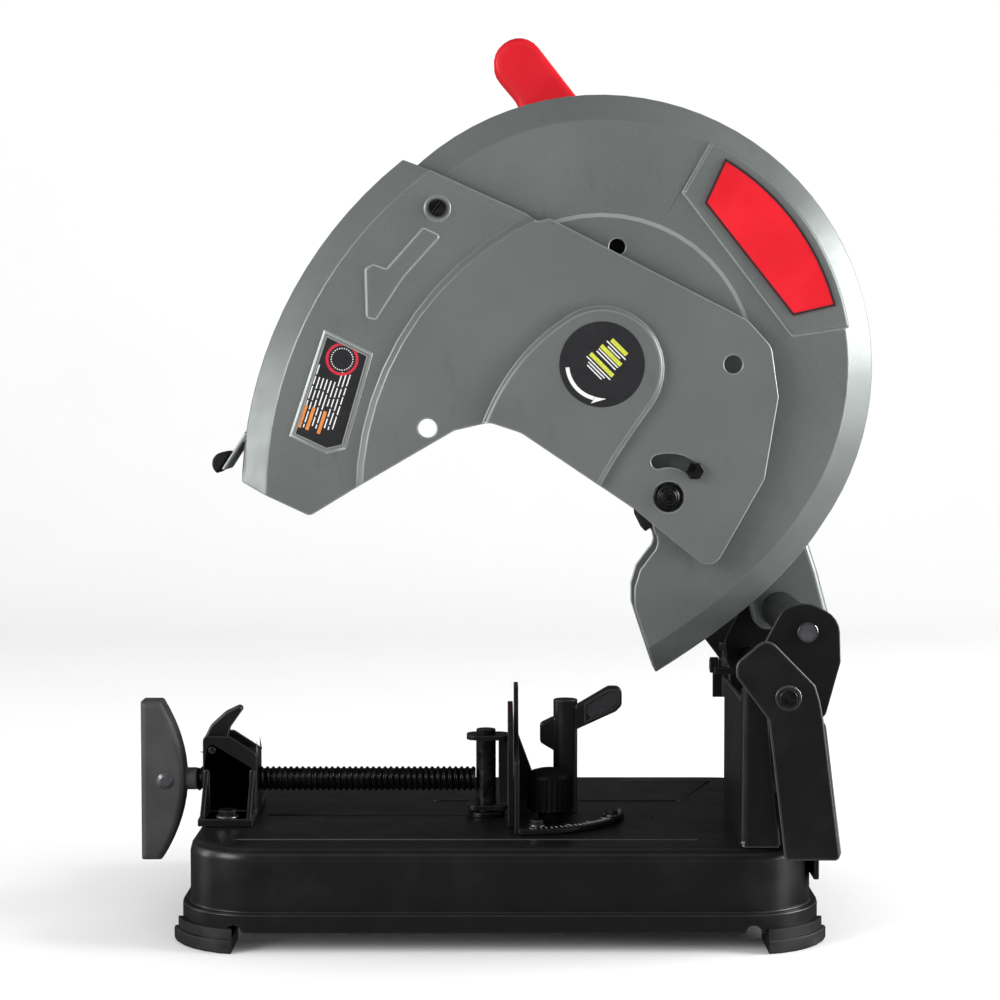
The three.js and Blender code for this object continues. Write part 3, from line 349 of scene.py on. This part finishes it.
def bridge(bm, rings, closed=False):
    """Walls between rings of the same length; caps the two ends unless the rings close on themselves."""
    count = len(rings[0])
    pairs = list(zip(rings, rings[1:] + rings[:1])) if closed else list(zip(rings, rings[1:]))
    for low, high in pairs:
        for i in range(count):
            j = (i + 1) % count
            bm.faces.new((low[i], low[j], high[j], high[i]))
    if not closed:
        bm.faces.new(rings[0])
        bm.faces.new(rings[-1])


AXES = {
    "x": (Vector((0, 1, 0)), Vector((0, 0, 1)), Vector((1, 0, 0))),
    "y": (Vector((1, 0, 0)), Vector((0, 0, 1)), Vector((0, 1, 0))),
    "z": (Vector((1, 0, 0)), Vector((0, 1, 0)), Vector((0, 0, 1))),
}


def turned(bm, centre, axis, profile, sides=48, flute=None):
    """A lathe piece: profile is (radius, distance along the axis) from end to end."""
    u, v, along = AXES[axis]
    rings = []
    for radius, distance in profile:
        ring = []
        for i in range(sides):
            angle = 2 * math.pi * i / sides
            r = radius + (flute(angle, distance) if flute else 0)
            ring.append(centre + (u * math.cos(angle) + v * math.sin(angle)) * r + along * distance)
        rings.append(section(bm, ring))
    bridge(bm, rings)


def ring_piece(bm, centre, axis, outer, inner, low, high, sides=48, inner_sides=None):
    """A washer; with inner_sides of 6 its hole is a hexagon."""
    u, v, along = AXES[axis]

    def loop(radius, distance, corners):
        points = []
        for i in range(sides):
            angle = 2 * math.pi * i / sides
            if corners:
                step = 2 * math.pi / corners
                r = radius * math.cos(step / 2) / math.cos((angle % step) - step / 2)
            else:
                r = radius
            points.append(centre + (u * math.cos(angle) + v * math.sin(angle)) * r + along * distance)
        return section(bm, points)

    chamfer = min(0.35 * MM, (high - low) / 3, (outer - inner) / 3)
    rings = [
        loop(inner, low, inner_sides), loop(outer - chamfer, low, None), loop(outer, low + chamfer, None),
        loop(outer, high, None), loop(inner, high, inner_sides),
    ]
    bridge(bm, rings, closed=True)


def slab(bm, outline, axis, low, high):
    """A flat plate: outline is a list of 2-D points across the axis."""
    u, v, along = AXES[axis]
    rings = [section(bm, [u * a + v * b + along * d for a, b in outline]) for d in (low, high)]
    bridge(bm, rings)


def sweep(bm, path, across, closed=False, side_of=Vector((0, 1, 0))):
    """Carries a closed section, as (sideways, along side_of) points, down a path."""
    rings = []
    count = len(path)
    for i, point in enumerate(path):
        before = path[(i - 1) % count] if closed or i else path[0]
        after = path[(i + 1) % count] if closed or i < count - 1 else path[-1]
        tangent = (after - before).normalized()
        side = tangent.cross(side_of).normalized()
        up = side.cross(tangent).normalized()
        rings.append(section(bm, [point + side * a + up * b for a, b in across]))
    bridge(bm, rings, closed)


def rounded_loop(corners, steps=8, pull=0.35):
    """Softens a closed 2-D polygon by replacing each corner with a short curve."""
    points = []
    count = len(corners)
    for i, corner in enumerate(corners):
        here = Vector(corner)
        before = here.lerp(Vector(corners[i - 1]), pull)
        after = here.lerp(Vector(corners[(i + 1) % count]), pull)
        for k in range(steps + 1):
            t = k / steps
            points.append(before.lerp(here, t).lerp(here.lerp(after, t), t))
    return points


def inset(points, distance):
    """Moves every side of a closed 2-D polygon inwards."""
    points = [Vector(p) for p in points]
    pairs = list(zip(points, points[1:] + points[:1]))
    hand = math.copysign(1, sum(a.x * b.y - b.x * a.y for a, b in pairs))
    normals = [Vector((a.y - b.y, b.x - a.x)).normalized() * hand for a, b in pairs]
    moved = []
    for i, point in enumerate(points):
        first, second = normals[i - 1], normals[i]
        moved.append(tuple(point + (first + second) * distance / (1 + first.dot(second))))
    return moved


def within(spot, polygon):
    """True when a 2-D point lies in a convex polygon."""
    turns = [
        (b[0] - a[0]) * (spot[1] - a[1]) - (b[1] - a[1]) * (spot[0] - a[0])
        for a, b in zip(polygon, polygon[1:] + polygon[:1])
    ]
    return all(turn > 0 for turn in turns) or all(turn < 0 for turn in turns)


def circle(radius, count):
    turns = (2 * math.pi * i / count for i in range(count))
    return [(radius * math.cos(angle), radius * math.sin(angle)) for angle in turns]


# ------------------------------------------------------------------ CAD nodes with finished edges
# Width of the rounding on each node's corners, in millimetres.
EDGE_WIDTH = {
    "upper_guard": 1.0, "lower_guard": 1.0, "base_tray": 0.9, "head_arm": 1.6, "motor_housing": 0.8,
    "motor_end_cap": 0.9, "rear_housing": 0.9, "battery": 1.2, "crank_handle": 1.1, "vise_bracket": 0.8,
    "clamp_lever": 0.7, "trigger": 1.0, "release_lever": 1.0, "tower_leg_near": 1.4, "tower_leg_far": 1.2,
    "tower_front_post": 0.8, "ear_near": 0.9, "ear_far": 0.9, "spark_deflector": 0.8, "gear_cover": 0.8,
    "badge_plate": 0.3,
}
DEFAULT_EDGE = 0.4
REMADE = {"vise_screw", "fence_knob", "return_spring", "guard_cover_screw"}


def finish_node(node):
    """Stands in for a CAD node with the same solid, its triangles merged and its corners rounded."""
    mesh = frame["nodes"][node].data
    bm = bmesh.new()
    bm.from_mesh(mesh)
    bmesh.ops.remove_doubles(bm, verts=bm.verts, dist=0.02 * MM)
    bmesh.ops.dissolve_limit(bm, angle_limit=math.radians(0.8), verts=bm.verts, edges=bm.edges)
    short = [e for e in bm.edges if e.calc_length() < 0.12 * MM]
    bmesh.ops.collapse(bm, edges=short)
    round_edges(bm, EDGE_WIDTH.get(node, DEFAULT_EDGE) * MM)
    finish = OWN_FINISH.get(node, FINISH[SLOT_OF[node]])
    made = piece(node + "_finished", bm, BODY_OF[node], finish)
    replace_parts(made, node)
    return made


# ------------------------------------------------------------------ vise and fence parts
# The crest and the flank are given as parts of a pitch.
THREAD = {"pitch": 4 * MM, "depth": 1.25 * MM, "half_crest": 0.14, "flank": 0.2}


def vise_thread():
    """Rolled trapezoid thread along the whole screw."""
    low, high = (Vector(corner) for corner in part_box("vise_screw"))
    crest = (high.z - low.z) / 2
    sides, per_pitch = 28, 8
    steps = int((high.x - low.x) / THREAD["pitch"] * per_pitch)
    bm = bmesh.new()
    rings = []
    for k in range(steps + 1):
        x = low.x + (high.x - low.x) * k / steps
        ring = []
        for i in range(sides):
            turn = i / sides
            phase = ((x - low.x) / THREAD["pitch"] - turn) % 1
            fall = min(1, max(0, (abs(phase - 0.5) - THREAD["half_crest"]) / THREAD["flank"]))
            r = crest - THREAD["depth"] * fall
            angle = 2 * math.pi * turn
            ring.append(Vector((x, SCREW.y + r * math.cos(angle), SCREW.z + r * math.sin(angle))))
        rings.append(section(bm, ring))
    bridge(bm, rings)
    made = piece("vise_thread", bm, "vise_screw", THREAD_STEEL, 60)
    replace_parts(made, "vise_screw")


def fluted_knob():
    """Clamp knob with a domed top and round flutes."""
    low, high = (Vector(corner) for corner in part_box("fence_knob"))
    centre = Vector(((low.x + high.x) / 2, (low.y + high.y) / 2, low.z))
    tall = (high.z - low.z) / MM
    flutes, flute_depth = 26, 0.9 * MM

    def flute(angle, distance):
        if distance < 9 * MM or distance > (tall - 6) * MM:
            return 0
        return -flute_depth * (0.5 + 0.5 * math.cos(angle * flutes))

    neck = [(8, 0), (8, 7.5), (13.5, 7.6), (14.8, 8.6), (15, 9.2)]
    grip = [(15, 9.2 + (tall - 15.4) * k / 6) for k in range(1, 7)]
    dome = [(radius, tall - down) for radius, down in ((14.9, 5.6), (14.2, 3.6), (12, 1.9), (8, 0.7), (3, 0))]
    profile = [(r * MM, d * MM) for r, d in neck + grip + dome]
    bm = bmesh.new()
    turned(bm, centre, "z", profile, 8 * flutes, flute)
    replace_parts(piece("fluted_knob", bm, "fence_knob", BLACK_NYLON, 50), "fence_knob")


# The clamp lever's paddle, in millimetres from its upper rear corner.
PADDLE = [(-27, -10.6), (-9.1, 0), (0, 0), (0, -12.7), (-3.8, -16.7), (-27, -27.4)]
PADDLE_HALF = 5 * MM


def paddle_grip():
    """A raised border round a field of small pyramids, on both sides of the clamp lever's paddle."""
    high = Vector(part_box("clamp_lever")[1])
    pivot = anchor("clamp_lever_turn")
    edge = [(high.x + a * MM, high.z + b * MM) for a, b in PADDLE]
    field = inset(edge, 3.4 * MM)
    pitch, tall, reach = 1.7 * MM, 0.55 * MM, 12
    border, knurl = bmesh.new(), bmesh.new()
    for side in (-1, 1):
        face = pivot.y + side * PADDLE_HALF
        levels = ((1.5, -0.1), (1.8, 0.7), (2.7, 0.7), (3.0, -0.1))
        rings = [
            section(border, [Vector((a, face + side * rise * MM, b)) for a, b in inset(edge, distance * MM)])
            for distance, rise in levels
        ]
        bridge(border, rings, closed=True)
        for column in range(-reach, reach + 1):
            for row in range(-reach, reach + 1):
                x = high.x + (column + row - reach) * pitch / 2
                z = high.z + (column - row - reach) * pitch / 2
                spot = (x, z)
                if within(spot, field):
                    stud(knurl, spot, pitch * 0.46, face, side * tall)
    piece("paddle_border", border, "clamp_lever", FINISH["painted_black"])
    piece("paddle_knurl", knurl, "clamp_lever", FINISH["painted_black"], 20)


def stud(bm, spot, half, face, tall):
    """A four-sided pyramid, standing on its corner, out of a face across Y."""
    a, b = spot
    foot = section(bm, [Vector((a + dx, face - tall * 0.2, b + dz))
                        for dx, dz in ((half, 0), (0, half), (-half, 0), (0, -half))])
    tip = bm.verts.new(Vector((a, face + tall, b)))
    bm.faces.new(foot)
    for first, second in zip(foot, foot[1:] + foot[:1]):
        bm.faces.new((first, second, tip))


def mitre_scale():
    """Angle marks round the fence's quarter plate, a longer one every 15 degrees."""
    low = Vector(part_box("fence_plate")[0])
    plate_top = low.z + 4 * MM
    centre = Vector((low.x + 3 * MM, anchor("fence_miter").y))
    outer, half_width = 69.6 * MM, 0.22 * MM
    bm = bmesh.new()
    for degrees in range(-84, -2, 3):
        angle = math.radians(degrees)
        length = (6.5 if degrees % 15 == 0 else 3.5) * MM
        out = Vector((math.cos(angle), math.sin(angle)))
        across = Vector((-out.y, out.x)) * half_width
        start, end = centre + out * (outer - length), centre + out * outer
        corners = [tuple(p) for p in (start - across, end - across, end + across, start + across)]
        slab(bm, corners, "z", plate_top - 0.2 * MM, plate_top + 0.12 * MM)
    piece("mitre_scale", bm, "fence", INK_WHITE)


# Hex bolts with a washer under the head, and the head's height.
WASHERED = {
    "bracket_bolt_near": 5 * MM, "bracket_bolt_far": 5 * MM,
    "fence_bolt_near": 4.2 * MM, "fence_bolt_rear": 4.2 * MM,
}


def washers():
    """Plain washers under the vise bracket's and the fence's hex bolts."""
    for node, head in WASHERED.items():
        low, high = (Vector(corner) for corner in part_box(node))
        half = (high.x - low.x) / 2
        seat = high.z - head
        bm = bmesh.new()
        place = Vector((*middle(node).xy, 0))
        ring_piece(bm, place, "z", half * 1.35, half * 0.62, seat - 0.1 * MM, seat + 1.0 * MM)
        piece(node + "_washer", bm, BODY_OF[node], FINISH["steel"])


def pivot_socket():
    """Hexagon socket in the head of the lower guard's pivot bolt."""
    face = near_face("guard_pivot_bolt")
    bm = bmesh.new()
    place = Vector((SWING.x, 0, SWING.z))
    ring_piece(bm, place, "y", 5.2 * MM, 2.9 * MM, face - 1.3 * MM, face + 0.1 * MM, 48, 6)
    piece("pivot_socket", bm, "head", FINISH["black_oxide"])


def turned_heads():
    """A thin raised rim on the ear bolt's head, and a washer round the hinge shaft's head."""
    at, face = middle("ear_bolt"), near_face("ear_bolt")
    bm = bmesh.new()
    ring_piece(bm, Vector((at.x, 0, at.z)), "y", 6.6 * MM, 5.7 * MM, face - 0.35 * MM, face + 0.1 * MM)
    piece("ear_bolt_rim", bm, "head", FINISH["steel"])
    at, face = anchor("head_pivot"), near_face("tower_leg_near")
    bm = bmesh.new()
    ring_piece(bm, Vector((at.x, 0, at.z)), "y", 8.2 * MM, 6.9 * MM, face - 0.4 * MM, face + 0.1 * MM)
    piece("hinge_shaft_ring", bm, "base", FINISH["steel"])


def badge_rim():
    """Thin dark edge round the red badge plate."""
    arc = [math.radians(15 + 44.5 * k / 24) for k in range(25)]
    points = [guard_point(166 * math.cos(angle), 166 * math.sin(angle)) for angle in arc]
    points += [guard_point(70.4, 112.8), guard_point(131.1, 36.2)]
    face = near_face("badge_plate")
    bm = bmesh.new()
    levels = ((0.1, 0.4), (0.1, -0.3), (1.5, -0.3), (1.5, 0.4))
    rings = [
        section(bm, [Vector((a, face + rise * MM, b)) for a, b in inset(points, distance * MM)])
        for distance, rise in levels
    ]
    bridge(bm, rings, closed=True)
    piece("badge_rim", bm, "head", INK_BLACK)


def spring_coil():
    """Round-wire torsion spring round the hinge shaft."""
    low, high = (Vector(corner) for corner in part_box("return_spring"))
    pivot = anchor("head_pivot")
    radius, wire, end_gap = 11 * MM, 1.6 * MM, 1.8 * MM
    turns, steps = 5.5, 26
    path = []
    for k in range(int(turns * steps) + 1):
        angle = 2 * math.pi * k / steps
        y = low.y + end_gap + (high.y - low.y - 2 * end_gap) * k / (turns * steps)
        path.append(Vector((pivot.x + radius * math.cos(angle), y, pivot.z + radius * math.sin(angle))))
    bm = bmesh.new()
    sweep(bm, path, circle(wire, 12))
    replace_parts(piece("spring_coil", bm, "base", FINISH["steel"], 60), "return_spring")


# ------------------------------------------------------------------ handle, motor and battery
# Radius and height above the seat, in millimetres.
PAN_HEAD = [(0.4, -1.5), (4.0, -1.5), (3.9, 1.2), (3.2, 2.5), (1.8, 3.3), (0.4, 3.4)]
CAP_SCREWS = {"count": 4, "radius": 35 * MM, "seat": 3.5 * MM}


def cap_screws():
    """Pan-head screws round the motor's end cap."""
    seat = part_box("motor_end_cap")[1][1] - CAP_SCREWS["seat"]
    for k in range(CAP_SCREWS["count"]):
        angle = math.radians(45) + 2 * math.pi * k / CAP_SCREWS["count"]
        out = Vector((math.cos(angle), 0, math.sin(angle))) * CAP_SCREWS["radius"]
        bm = bmesh.new()
        profile = [(r * MM, d * MM) for r, d in PAN_HEAD]
        turned(bm, Vector((MOTOR.x, seat, MOTOR.z)) + out, "y", profile, 28)
        piece(f"end_cap_screw_{k + 1}", bm, "head", FINISH["black_oxide"])


def battery_latches():
    """A release latch on each side of the battery pack."""
    low, high = (Vector(corner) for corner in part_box("battery"))
    x0, x1 = low.x + 12 * MM, low.x + 34 * MM
    z0, z1 = high.z - 26 * MM, high.z - 14 * MM
    outline = [tuple(p) for p in rounded_loop([(x0, z0), (x1, z0), (x1, z1), (x0, z1)], 4, 0.25)]
    for name, y0, y1 in (
        ("battery_latch_near", low.y - 2 * MM, low.y),
        ("battery_latch_far", high.y, high.y + 2 * MM),
    ):
        bm = bmesh.new()
        slab(bm, outline, "y", y0, y1)
        round_edges(bm, 0.5 * MM)
        piece(name, bm, "battery", FINISH["dark_plastic"])


def battery_ribs():
    """Finger ribs across the battery pack's front."""
    low, high = (Vector(corner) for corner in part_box("battery"))
    y0, y1 = low.y + 14 * MM, high.y - 14 * MM
    first, pitch, thick = 12 * MM, 6 * MM, 2.4 * MM
    bm = bmesh.new()
    for k in range(6):
        z0 = low.z + first + k * pitch
        z1 = z0 + thick
        slab(bm, [(y0, z0), (y1, z0), (y1, z1), (y0, z1)], "x", low.x - 1.0 * MM, low.x + 0.5 * MM)
    round_edges(bm, 0.4 * MM)
    piece("battery_ribs", bm, "battery", FINISH["dark_plastic"])


# ------------------------------------------------------------------ lower guard details
BOSS_FACE = near_face("lower_guard")
BAND_FACE = BOSS_FACE + 11 * MM


def guard_point(dx, dz):
    """A point on the guard, in millimetres from the spindle's axis."""
    return (HUB.x + dx * MM, HUB.z + dz * MM)


LABEL = [
    guard_point(*corner)
    for corner in ((-188.4, 25.6), (-156.2, 10.0), (-174.6, -54.1), (-187.5, -57.1), (-212.0, -45.5))
]
LABEL_RING = guard_point(-176.5, 6.5)
LABEL_FACE = BAND_FACE - 0.35 * MM
DOWN_LABEL = (Vector(LABEL[4]) - Vector(LABEL[0])).normalized()
ACROSS_LABEL = Vector((-DOWN_LABEL.y, DOWN_LABEL.x))
LABEL_CORNER = Vector(guard_point(-192.2, 3.0))
COLUMN_PITCH = 2.75
FLAGGED = (0, 2, 5)  # columns that end in a coloured flag
FLAG = 16 * MM


def label_rim():
    """A raised frame round the label."""
    bm = bmesh.new()
    levels = ((-0.8, 0.1), (0.8, -1.1), (2.6, -1.1), (3.4, 0.1))
    rings = [
        section(bm, [Vector((a, BAND_FACE + rise * MM, b)) for a, b in inset(LABEL, distance * MM)])
        for distance, rise in levels
    ]
    bridge(bm, rings, closed=True)
    round_edges(bm, 0.35 * MM, 20)
    piece("label_rim", bm, "lower_guard", FINISH["cast_grey"])


def label_film():
    bm = bmesh.new()
    slab(bm, inset(LABEL, 2.9 * MM), "y", LABEL_FACE, BAND_FACE + 0.1 * MM)
    piece("label_film", bm, "lower_guard", INK_BLACK)


def label_ring():
    """A plain ring at the top of the label."""
    x, z = LABEL_RING
    low, high = LABEL_FACE - 0.12 * MM, LABEL_FACE + 0.05 * MM
    bm = bmesh.new()
    ring_piece(bm, Vector((x, 0, z)), "y", 11.2 * MM, 9.3 * MM, low, high)
    piece("label_ring", bm, "lower_guard", INK_RED)


def label_bar(bm, start, length, half_width, lift):
    """A flat bar down the label."""
    end = start + DOWN_LABEL * length
    half = ACROSS_LABEL * half_width
    corners = [tuple(p) for p in (start - half, end - half, end + half, start + half)]
    slab(bm, corners, "y", LABEL_FACE - lift, LABEL_FACE + 0.02 * MM)


def column_start(column):
    return LABEL_CORNER + ACROSS_LABEL * (0.4 + column * COLUMN_PITCH) * MM


def label_bars():
    """A dotted ring, and rows of plain bars of random length below it."""
    bm = bmesh.new()
    x, z = LABEL_RING
    dots = 28
    for k in range(dots):
        angle = 2 * math.pi * k / dots
        spot = Vector((x + 7.4 * MM * math.cos(angle), LABEL_FACE, z + 7.4 * MM * math.sin(angle)))
        turned(bm, spot, "y", [(0.45 * MM, -0.1 * MM), (0.45 * MM, 0.02 * MM)], 8)
    for column in range(9):
        start = column_start(column)
        length = 44 * MM - abs(column - 1) * 0.6 * MM
        if 1 <= column <= 5:
            start = start + DOWN_LABEL * 8 * MM
            length -= 8 * MM
        at = 0.0
        while at < length - (FLAG if column in FLAGGED else 1 * MM):
            bar = min(random.uniform(5, 11) * MM, length - at)
            label_bar(bm, start + DOWN_LABEL * at, bar, 0.42 * MM, 0.1 * MM)
            at += bar + 1.2 * MM
    piece("label_bars", bm, "lower_guard", INK_WHITE)


def label_flags():
    bm = bmesh.new()
    for column in FLAGGED:
        label_bar(bm, column_start(column) + DOWN_LABEL * 29 * MM, FLAG, 1.15 * MM, 0.13 * MM)
    piece("label_flags", bm, "lower_guard", INK_ORANGE)


def arc_strip(bm, centre, radius, half, start, end, face, lift, steps=28):
    """A flat curved band on the guard, between two angles in degrees."""
    rings = []
    for k in range(steps + 1):
        angle = math.radians(start + (end - start) * k / steps)
        out = Vector((math.cos(angle), 0, math.sin(angle)))
        base = Vector((centre.x, 0, centre.z))
        inner, outer = radius - half, radius + half
        corners = [(inner, face), (outer, face), (outer, face + lift), (inner, face + lift)]
        rings.append(section(bm, [base + out * r + Vector((0, y, 0)) for r, y in corners]))
    bridge(bm, rings)


# The sticker's bars: distance up across them from the sticker's centre, and length.
YELLOW_BARS = ((16.3, 14.5), (8.5, 19), (-0.4, 21.5))
WHITE_LINES = (
    (13.4, 17.9), (11.3, 11.7), (5.9, 18.3), (3.8, 18), (-3.5, 22.3), (-5.4, 15.6), (-7.4, 13.7),
)


def sticker():
    """Round film over the spindle with a turn arrow and slanted plain bars."""
    centre = HUB + Vector((0, 0, 2.9 * MM))
    flat = Vector((centre.x, 0, centre.z))
    film = ((0.5, -0.45), (28.6, -0.45), (29.0, -0.2), (29.0, 0.1), (0.5, 0.1))
    bm = bmesh.new()
    turned(bm, flat, "y", [(r * MM, BOSS_FACE + d * MM) for r, d in film], 96)
    piece("hub_sticker", bm, "lower_guard", INK_BLACK)
    face = BOSS_FACE - 0.45 * MM
    bm = bmesh.new()
    arc_strip(bm, centre, 23.5 * MM, 1.3 * MM, 185, 256, face - 0.12 * MM, 0.14 * MM)
    head = ((277, 23.5), (254, 27.4), (256.5, 24.7), (256.5, 22.3), (262, 22.6))
    corners = [(math.radians(angle), radius * MM) for angle, radius in head]
    slab(bm, [(centre.x + r * math.cos(a), centre.z + r * math.sin(a)) for a, r in corners], "y",
         face - 0.12 * MM, face + 0.02 * MM)
    for up, length in WHITE_LINES:
        slanted_bar(bm, centre, up, length, 0.42, face)
    piece("sticker_arrow", bm, "lower_guard", INK_WHITE)
    bm = bmesh.new()
    for up, length in YELLOW_BARS:
        slanted_bar(bm, centre, up, length, 1.45, face)
    piece("sticker_bars", bm, "lower_guard", INK_YELLOW)


def slanted_bar(bm, centre, up, length, half, face):
    """A flat bar falling to the right at 45 degrees, in millimetres from a centre on the guard."""
    along = Vector((1, -1)).normalized() * MM
    across = Vector((1, 1)).normalized() * MM
    middle_of_bar = Vector((centre.x, centre.z)) + across * up
    corners = [
        middle_of_bar + along * a * length / 2 + across * b * half
        for a, b in ((-1, -1), (1, -1), (1, 1), (-1, 1))
    ]
    slab(bm, [tuple(corner) for corner in corners], "y", face - 0.12 * MM, face + 0.02 * MM)


# Radius and depth, in millimetres, from the guard's band and from the screw's face.
DISH = [(6.6, 0.2), (9.4, 0.2), (9.2, -0.4), (8.4, -0.9), (7.4, -0.9), (6.8, -0.3)]
SCREW_SHANK = [(0.5, 1.0), (5.9, 1.0), (5.9, 3.0), (3.0, 3.1), (3.0, 10.2), (0.5, 10.2)]


def screw_dish():
    """The dished ring round the cover screw."""
    at = middle("guard_cover_screw")
    place = Vector((at.x, BAND_FACE, at.z))
    u, v, along = AXES["y"]
    sides = 64
    bm = bmesh.new()
    rings = []
    for i in range(sides):
        angle = 2 * math.pi * i / sides
        out = u * math.cos(angle) + v * math.sin(angle)
        rings.append(section(bm, [place + out * r * MM + along * d * MM for r, d in DISH]))
    bridge(bm, rings, closed=True)
    piece("screw_dish", bm, "lower_guard", FINISH["cast_grey"], 60)


def slotted_screw():
    """Pan-head screw whose slot runs between two half-round lands."""
    at = middle("guard_cover_screw")
    low = near_face("guard_cover_screw")
    slot, radius, land = math.radians(52), 6 * MM, 2.2 * MM
    bm = bmesh.new()
    for start in (slot, slot + math.pi):
        turns = [start + math.radians(10 + 160 * k / 24) for k in range(25)]
        points = [(at.x + radius * math.cos(angle), at.z + radius * math.sin(angle)) for angle in turns]
        slab(bm, points, "y", low, low + land)
    round_edges(bm, 0.3 * MM)
    turned(bm, Vector((at.x, low, at.z)), "y", [(r * MM, d * MM) for r, d in SCREW_SHANK], 40)
    made = piece("slotted_screw", bm, "lower_guard", FINISH["black_oxide"])
    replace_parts(made, "guard_cover_screw")


# ------------------------------------------------------------------ stage
def stage():
    """A pale floor that curves up behind the saw."""
    bm = bmesh.new()
    front, bend_from, bend, top, half_wide = -4.0, 1.6, 1.2, 5.0, 5
    profile = [(front, 0.0), (bend_from, 0.0)]
    for k in range(1, 13):
        angle = math.radians(90 * k / 12)
        profile.append((bend_from + bend * math.sin(angle), bend - bend * math.cos(angle)))
    profile.append((bend_from + bend, top))
    rows = [section(bm, [Vector((x, y, z)) for x in (-half_wide, half_wide)]) for y, z in profile]
    for low, high in zip(rows, rows[1:]):
        bm.faces.new((low[0], low[1], high[1], high[0]))
    bmesh.ops.recalc_face_normals(bm, faces=bm.faces)
    mesh = bpy.data.meshes.new("stage_floor")
    bm.to_mesh(mesh)
    bm.free()
    mesh.polygons.foreach_set("use_smooth", [True] * len(mesh.polygons))
    mesh.materials.append(stage_paper())
    floor = bpy.data.objects.new("stage_floor", mesh)
    bpy.context.scene.collection.objects.link(floor)
    floor.visible_glossy = False


def softbox(name, place, target, wide, tall, power, tint=(1, 1, 1)):
    light = bpy.data.lights.new(name, "AREA")
    light.shape = "RECTANGLE"
    light.size, light.size_y = wide, tall
    light.energy = power
    light.color = tint
    made = bpy.data.objects.new(name, light)
    made.location = place
    made.rotation_euler = (Vector(target) - Vector(place)).to_track_quat("-Z", "Y").to_euler()
    bpy.context.scene.collection.objects.link(made)


AMBIENT = 0.78
AMBIENT_REFLECTED = 0.05
ZENITH = 0.72  # how bright straight up is, against the horizon
FADE = (0.25, 0.9)  # the heights on the unit sphere between which it dims


def world():
    """White all round, but dim in reflections, so that dark paint stays dark."""
    made = bpy.data.worlds.new("studio")
    made.use_nodes = True
    nodes, links = made.node_tree.nodes, made.node_tree.links
    path = nodes.new("ShaderNodeLightPath")
    strength = nodes.new("ShaderNodeMapRange")
    strength.inputs["To Min"].default_value = AMBIENT
    strength.inputs["To Max"].default_value = AMBIENT_REFLECTED
    links.new(path.outputs["Is Glossy Ray"], strength.inputs["Value"])
    links.new(strength.outputs["Result"], nodes["Background"].inputs["Strength"])
    place = nodes.new("ShaderNodeTexCoord")
    split = nodes.new("ShaderNodeSeparateXYZ")
    links.new(place.outputs["Generated"], split.inputs[0])
    shade = nodes.new("ShaderNodeMapRange")
    shade.inputs["From Min"].default_value = FADE[0]
    shade.inputs["From Max"].default_value = FADE[1]
    shade.inputs["To Min"].default_value = 1.0
    shade.inputs["To Max"].default_value = ZENITH
    links.new(split.outputs["Z"], shade.inputs["Value"])
    grey = nodes.new("ShaderNodeCombineColor")
    for channel in ("Red", "Green", "Blue"):
        links.new(shade.outputs["Result"], grey.inputs[channel])
    links.new(grey.outputs["Color"], nodes["Background"].inputs["Color"])
    bpy.context.scene.world = made


def lights():
    aim = (0, 0, 0.32)
    softbox("key_right", (1.8, -0.1, 0.85), aim, 1.1, 0.9, 38)
    softbox("front_left", (-1.8, -1.4, 0.9), aim, 1.0, 1.0, 27)
    softbox("low_right", (1.9, -0.7, 0.12), aim, 0.6, 0.2, 9)
    softbox("left", (-1.9, 0.1, 0.4), aim, 0.4, 1.0, 8)


CAMERA_PLACE = (-7.5 * MM, -1550.5 * MM, 358 * MM)
CAMERA_TILT = 2.99  # degrees below level


def camera():
    """A long lens at the operator's side, tipped slightly down."""
    data = bpy.data.cameras.new("main_camera")
    data.lens = 80.3
    data.sensor_width = 36
    data.clip_end = 20
    made = bpy.data.objects.new("main_camera", data)
    made.location = CAMERA_PLACE
    made.rotation_euler = (math.radians(90 - CAMERA_TILT), 0, 0)
    bpy.context.scene.collection.objects.link(made)
    bpy.context.scene.camera = made


bpy.context.scene.view_settings.view_transform = "Standard"
for node_name in frame["nodes"]:
    if node_name not in REMADE:
        finish_node(node_name)
vise_thread()
fluted_knob()
paddle_grip()
mitre_scale()
washers()
pivot_socket()
turned_heads()
badge_rim()
spring_coil()
cap_screws()
battery_latches()
battery_ribs()
label_rim()
label_film()
label_ring()
label_bars()
label_flags()
sticker()
screw_dish()
slotted_screw()
stage()
world()
lights()
camera()
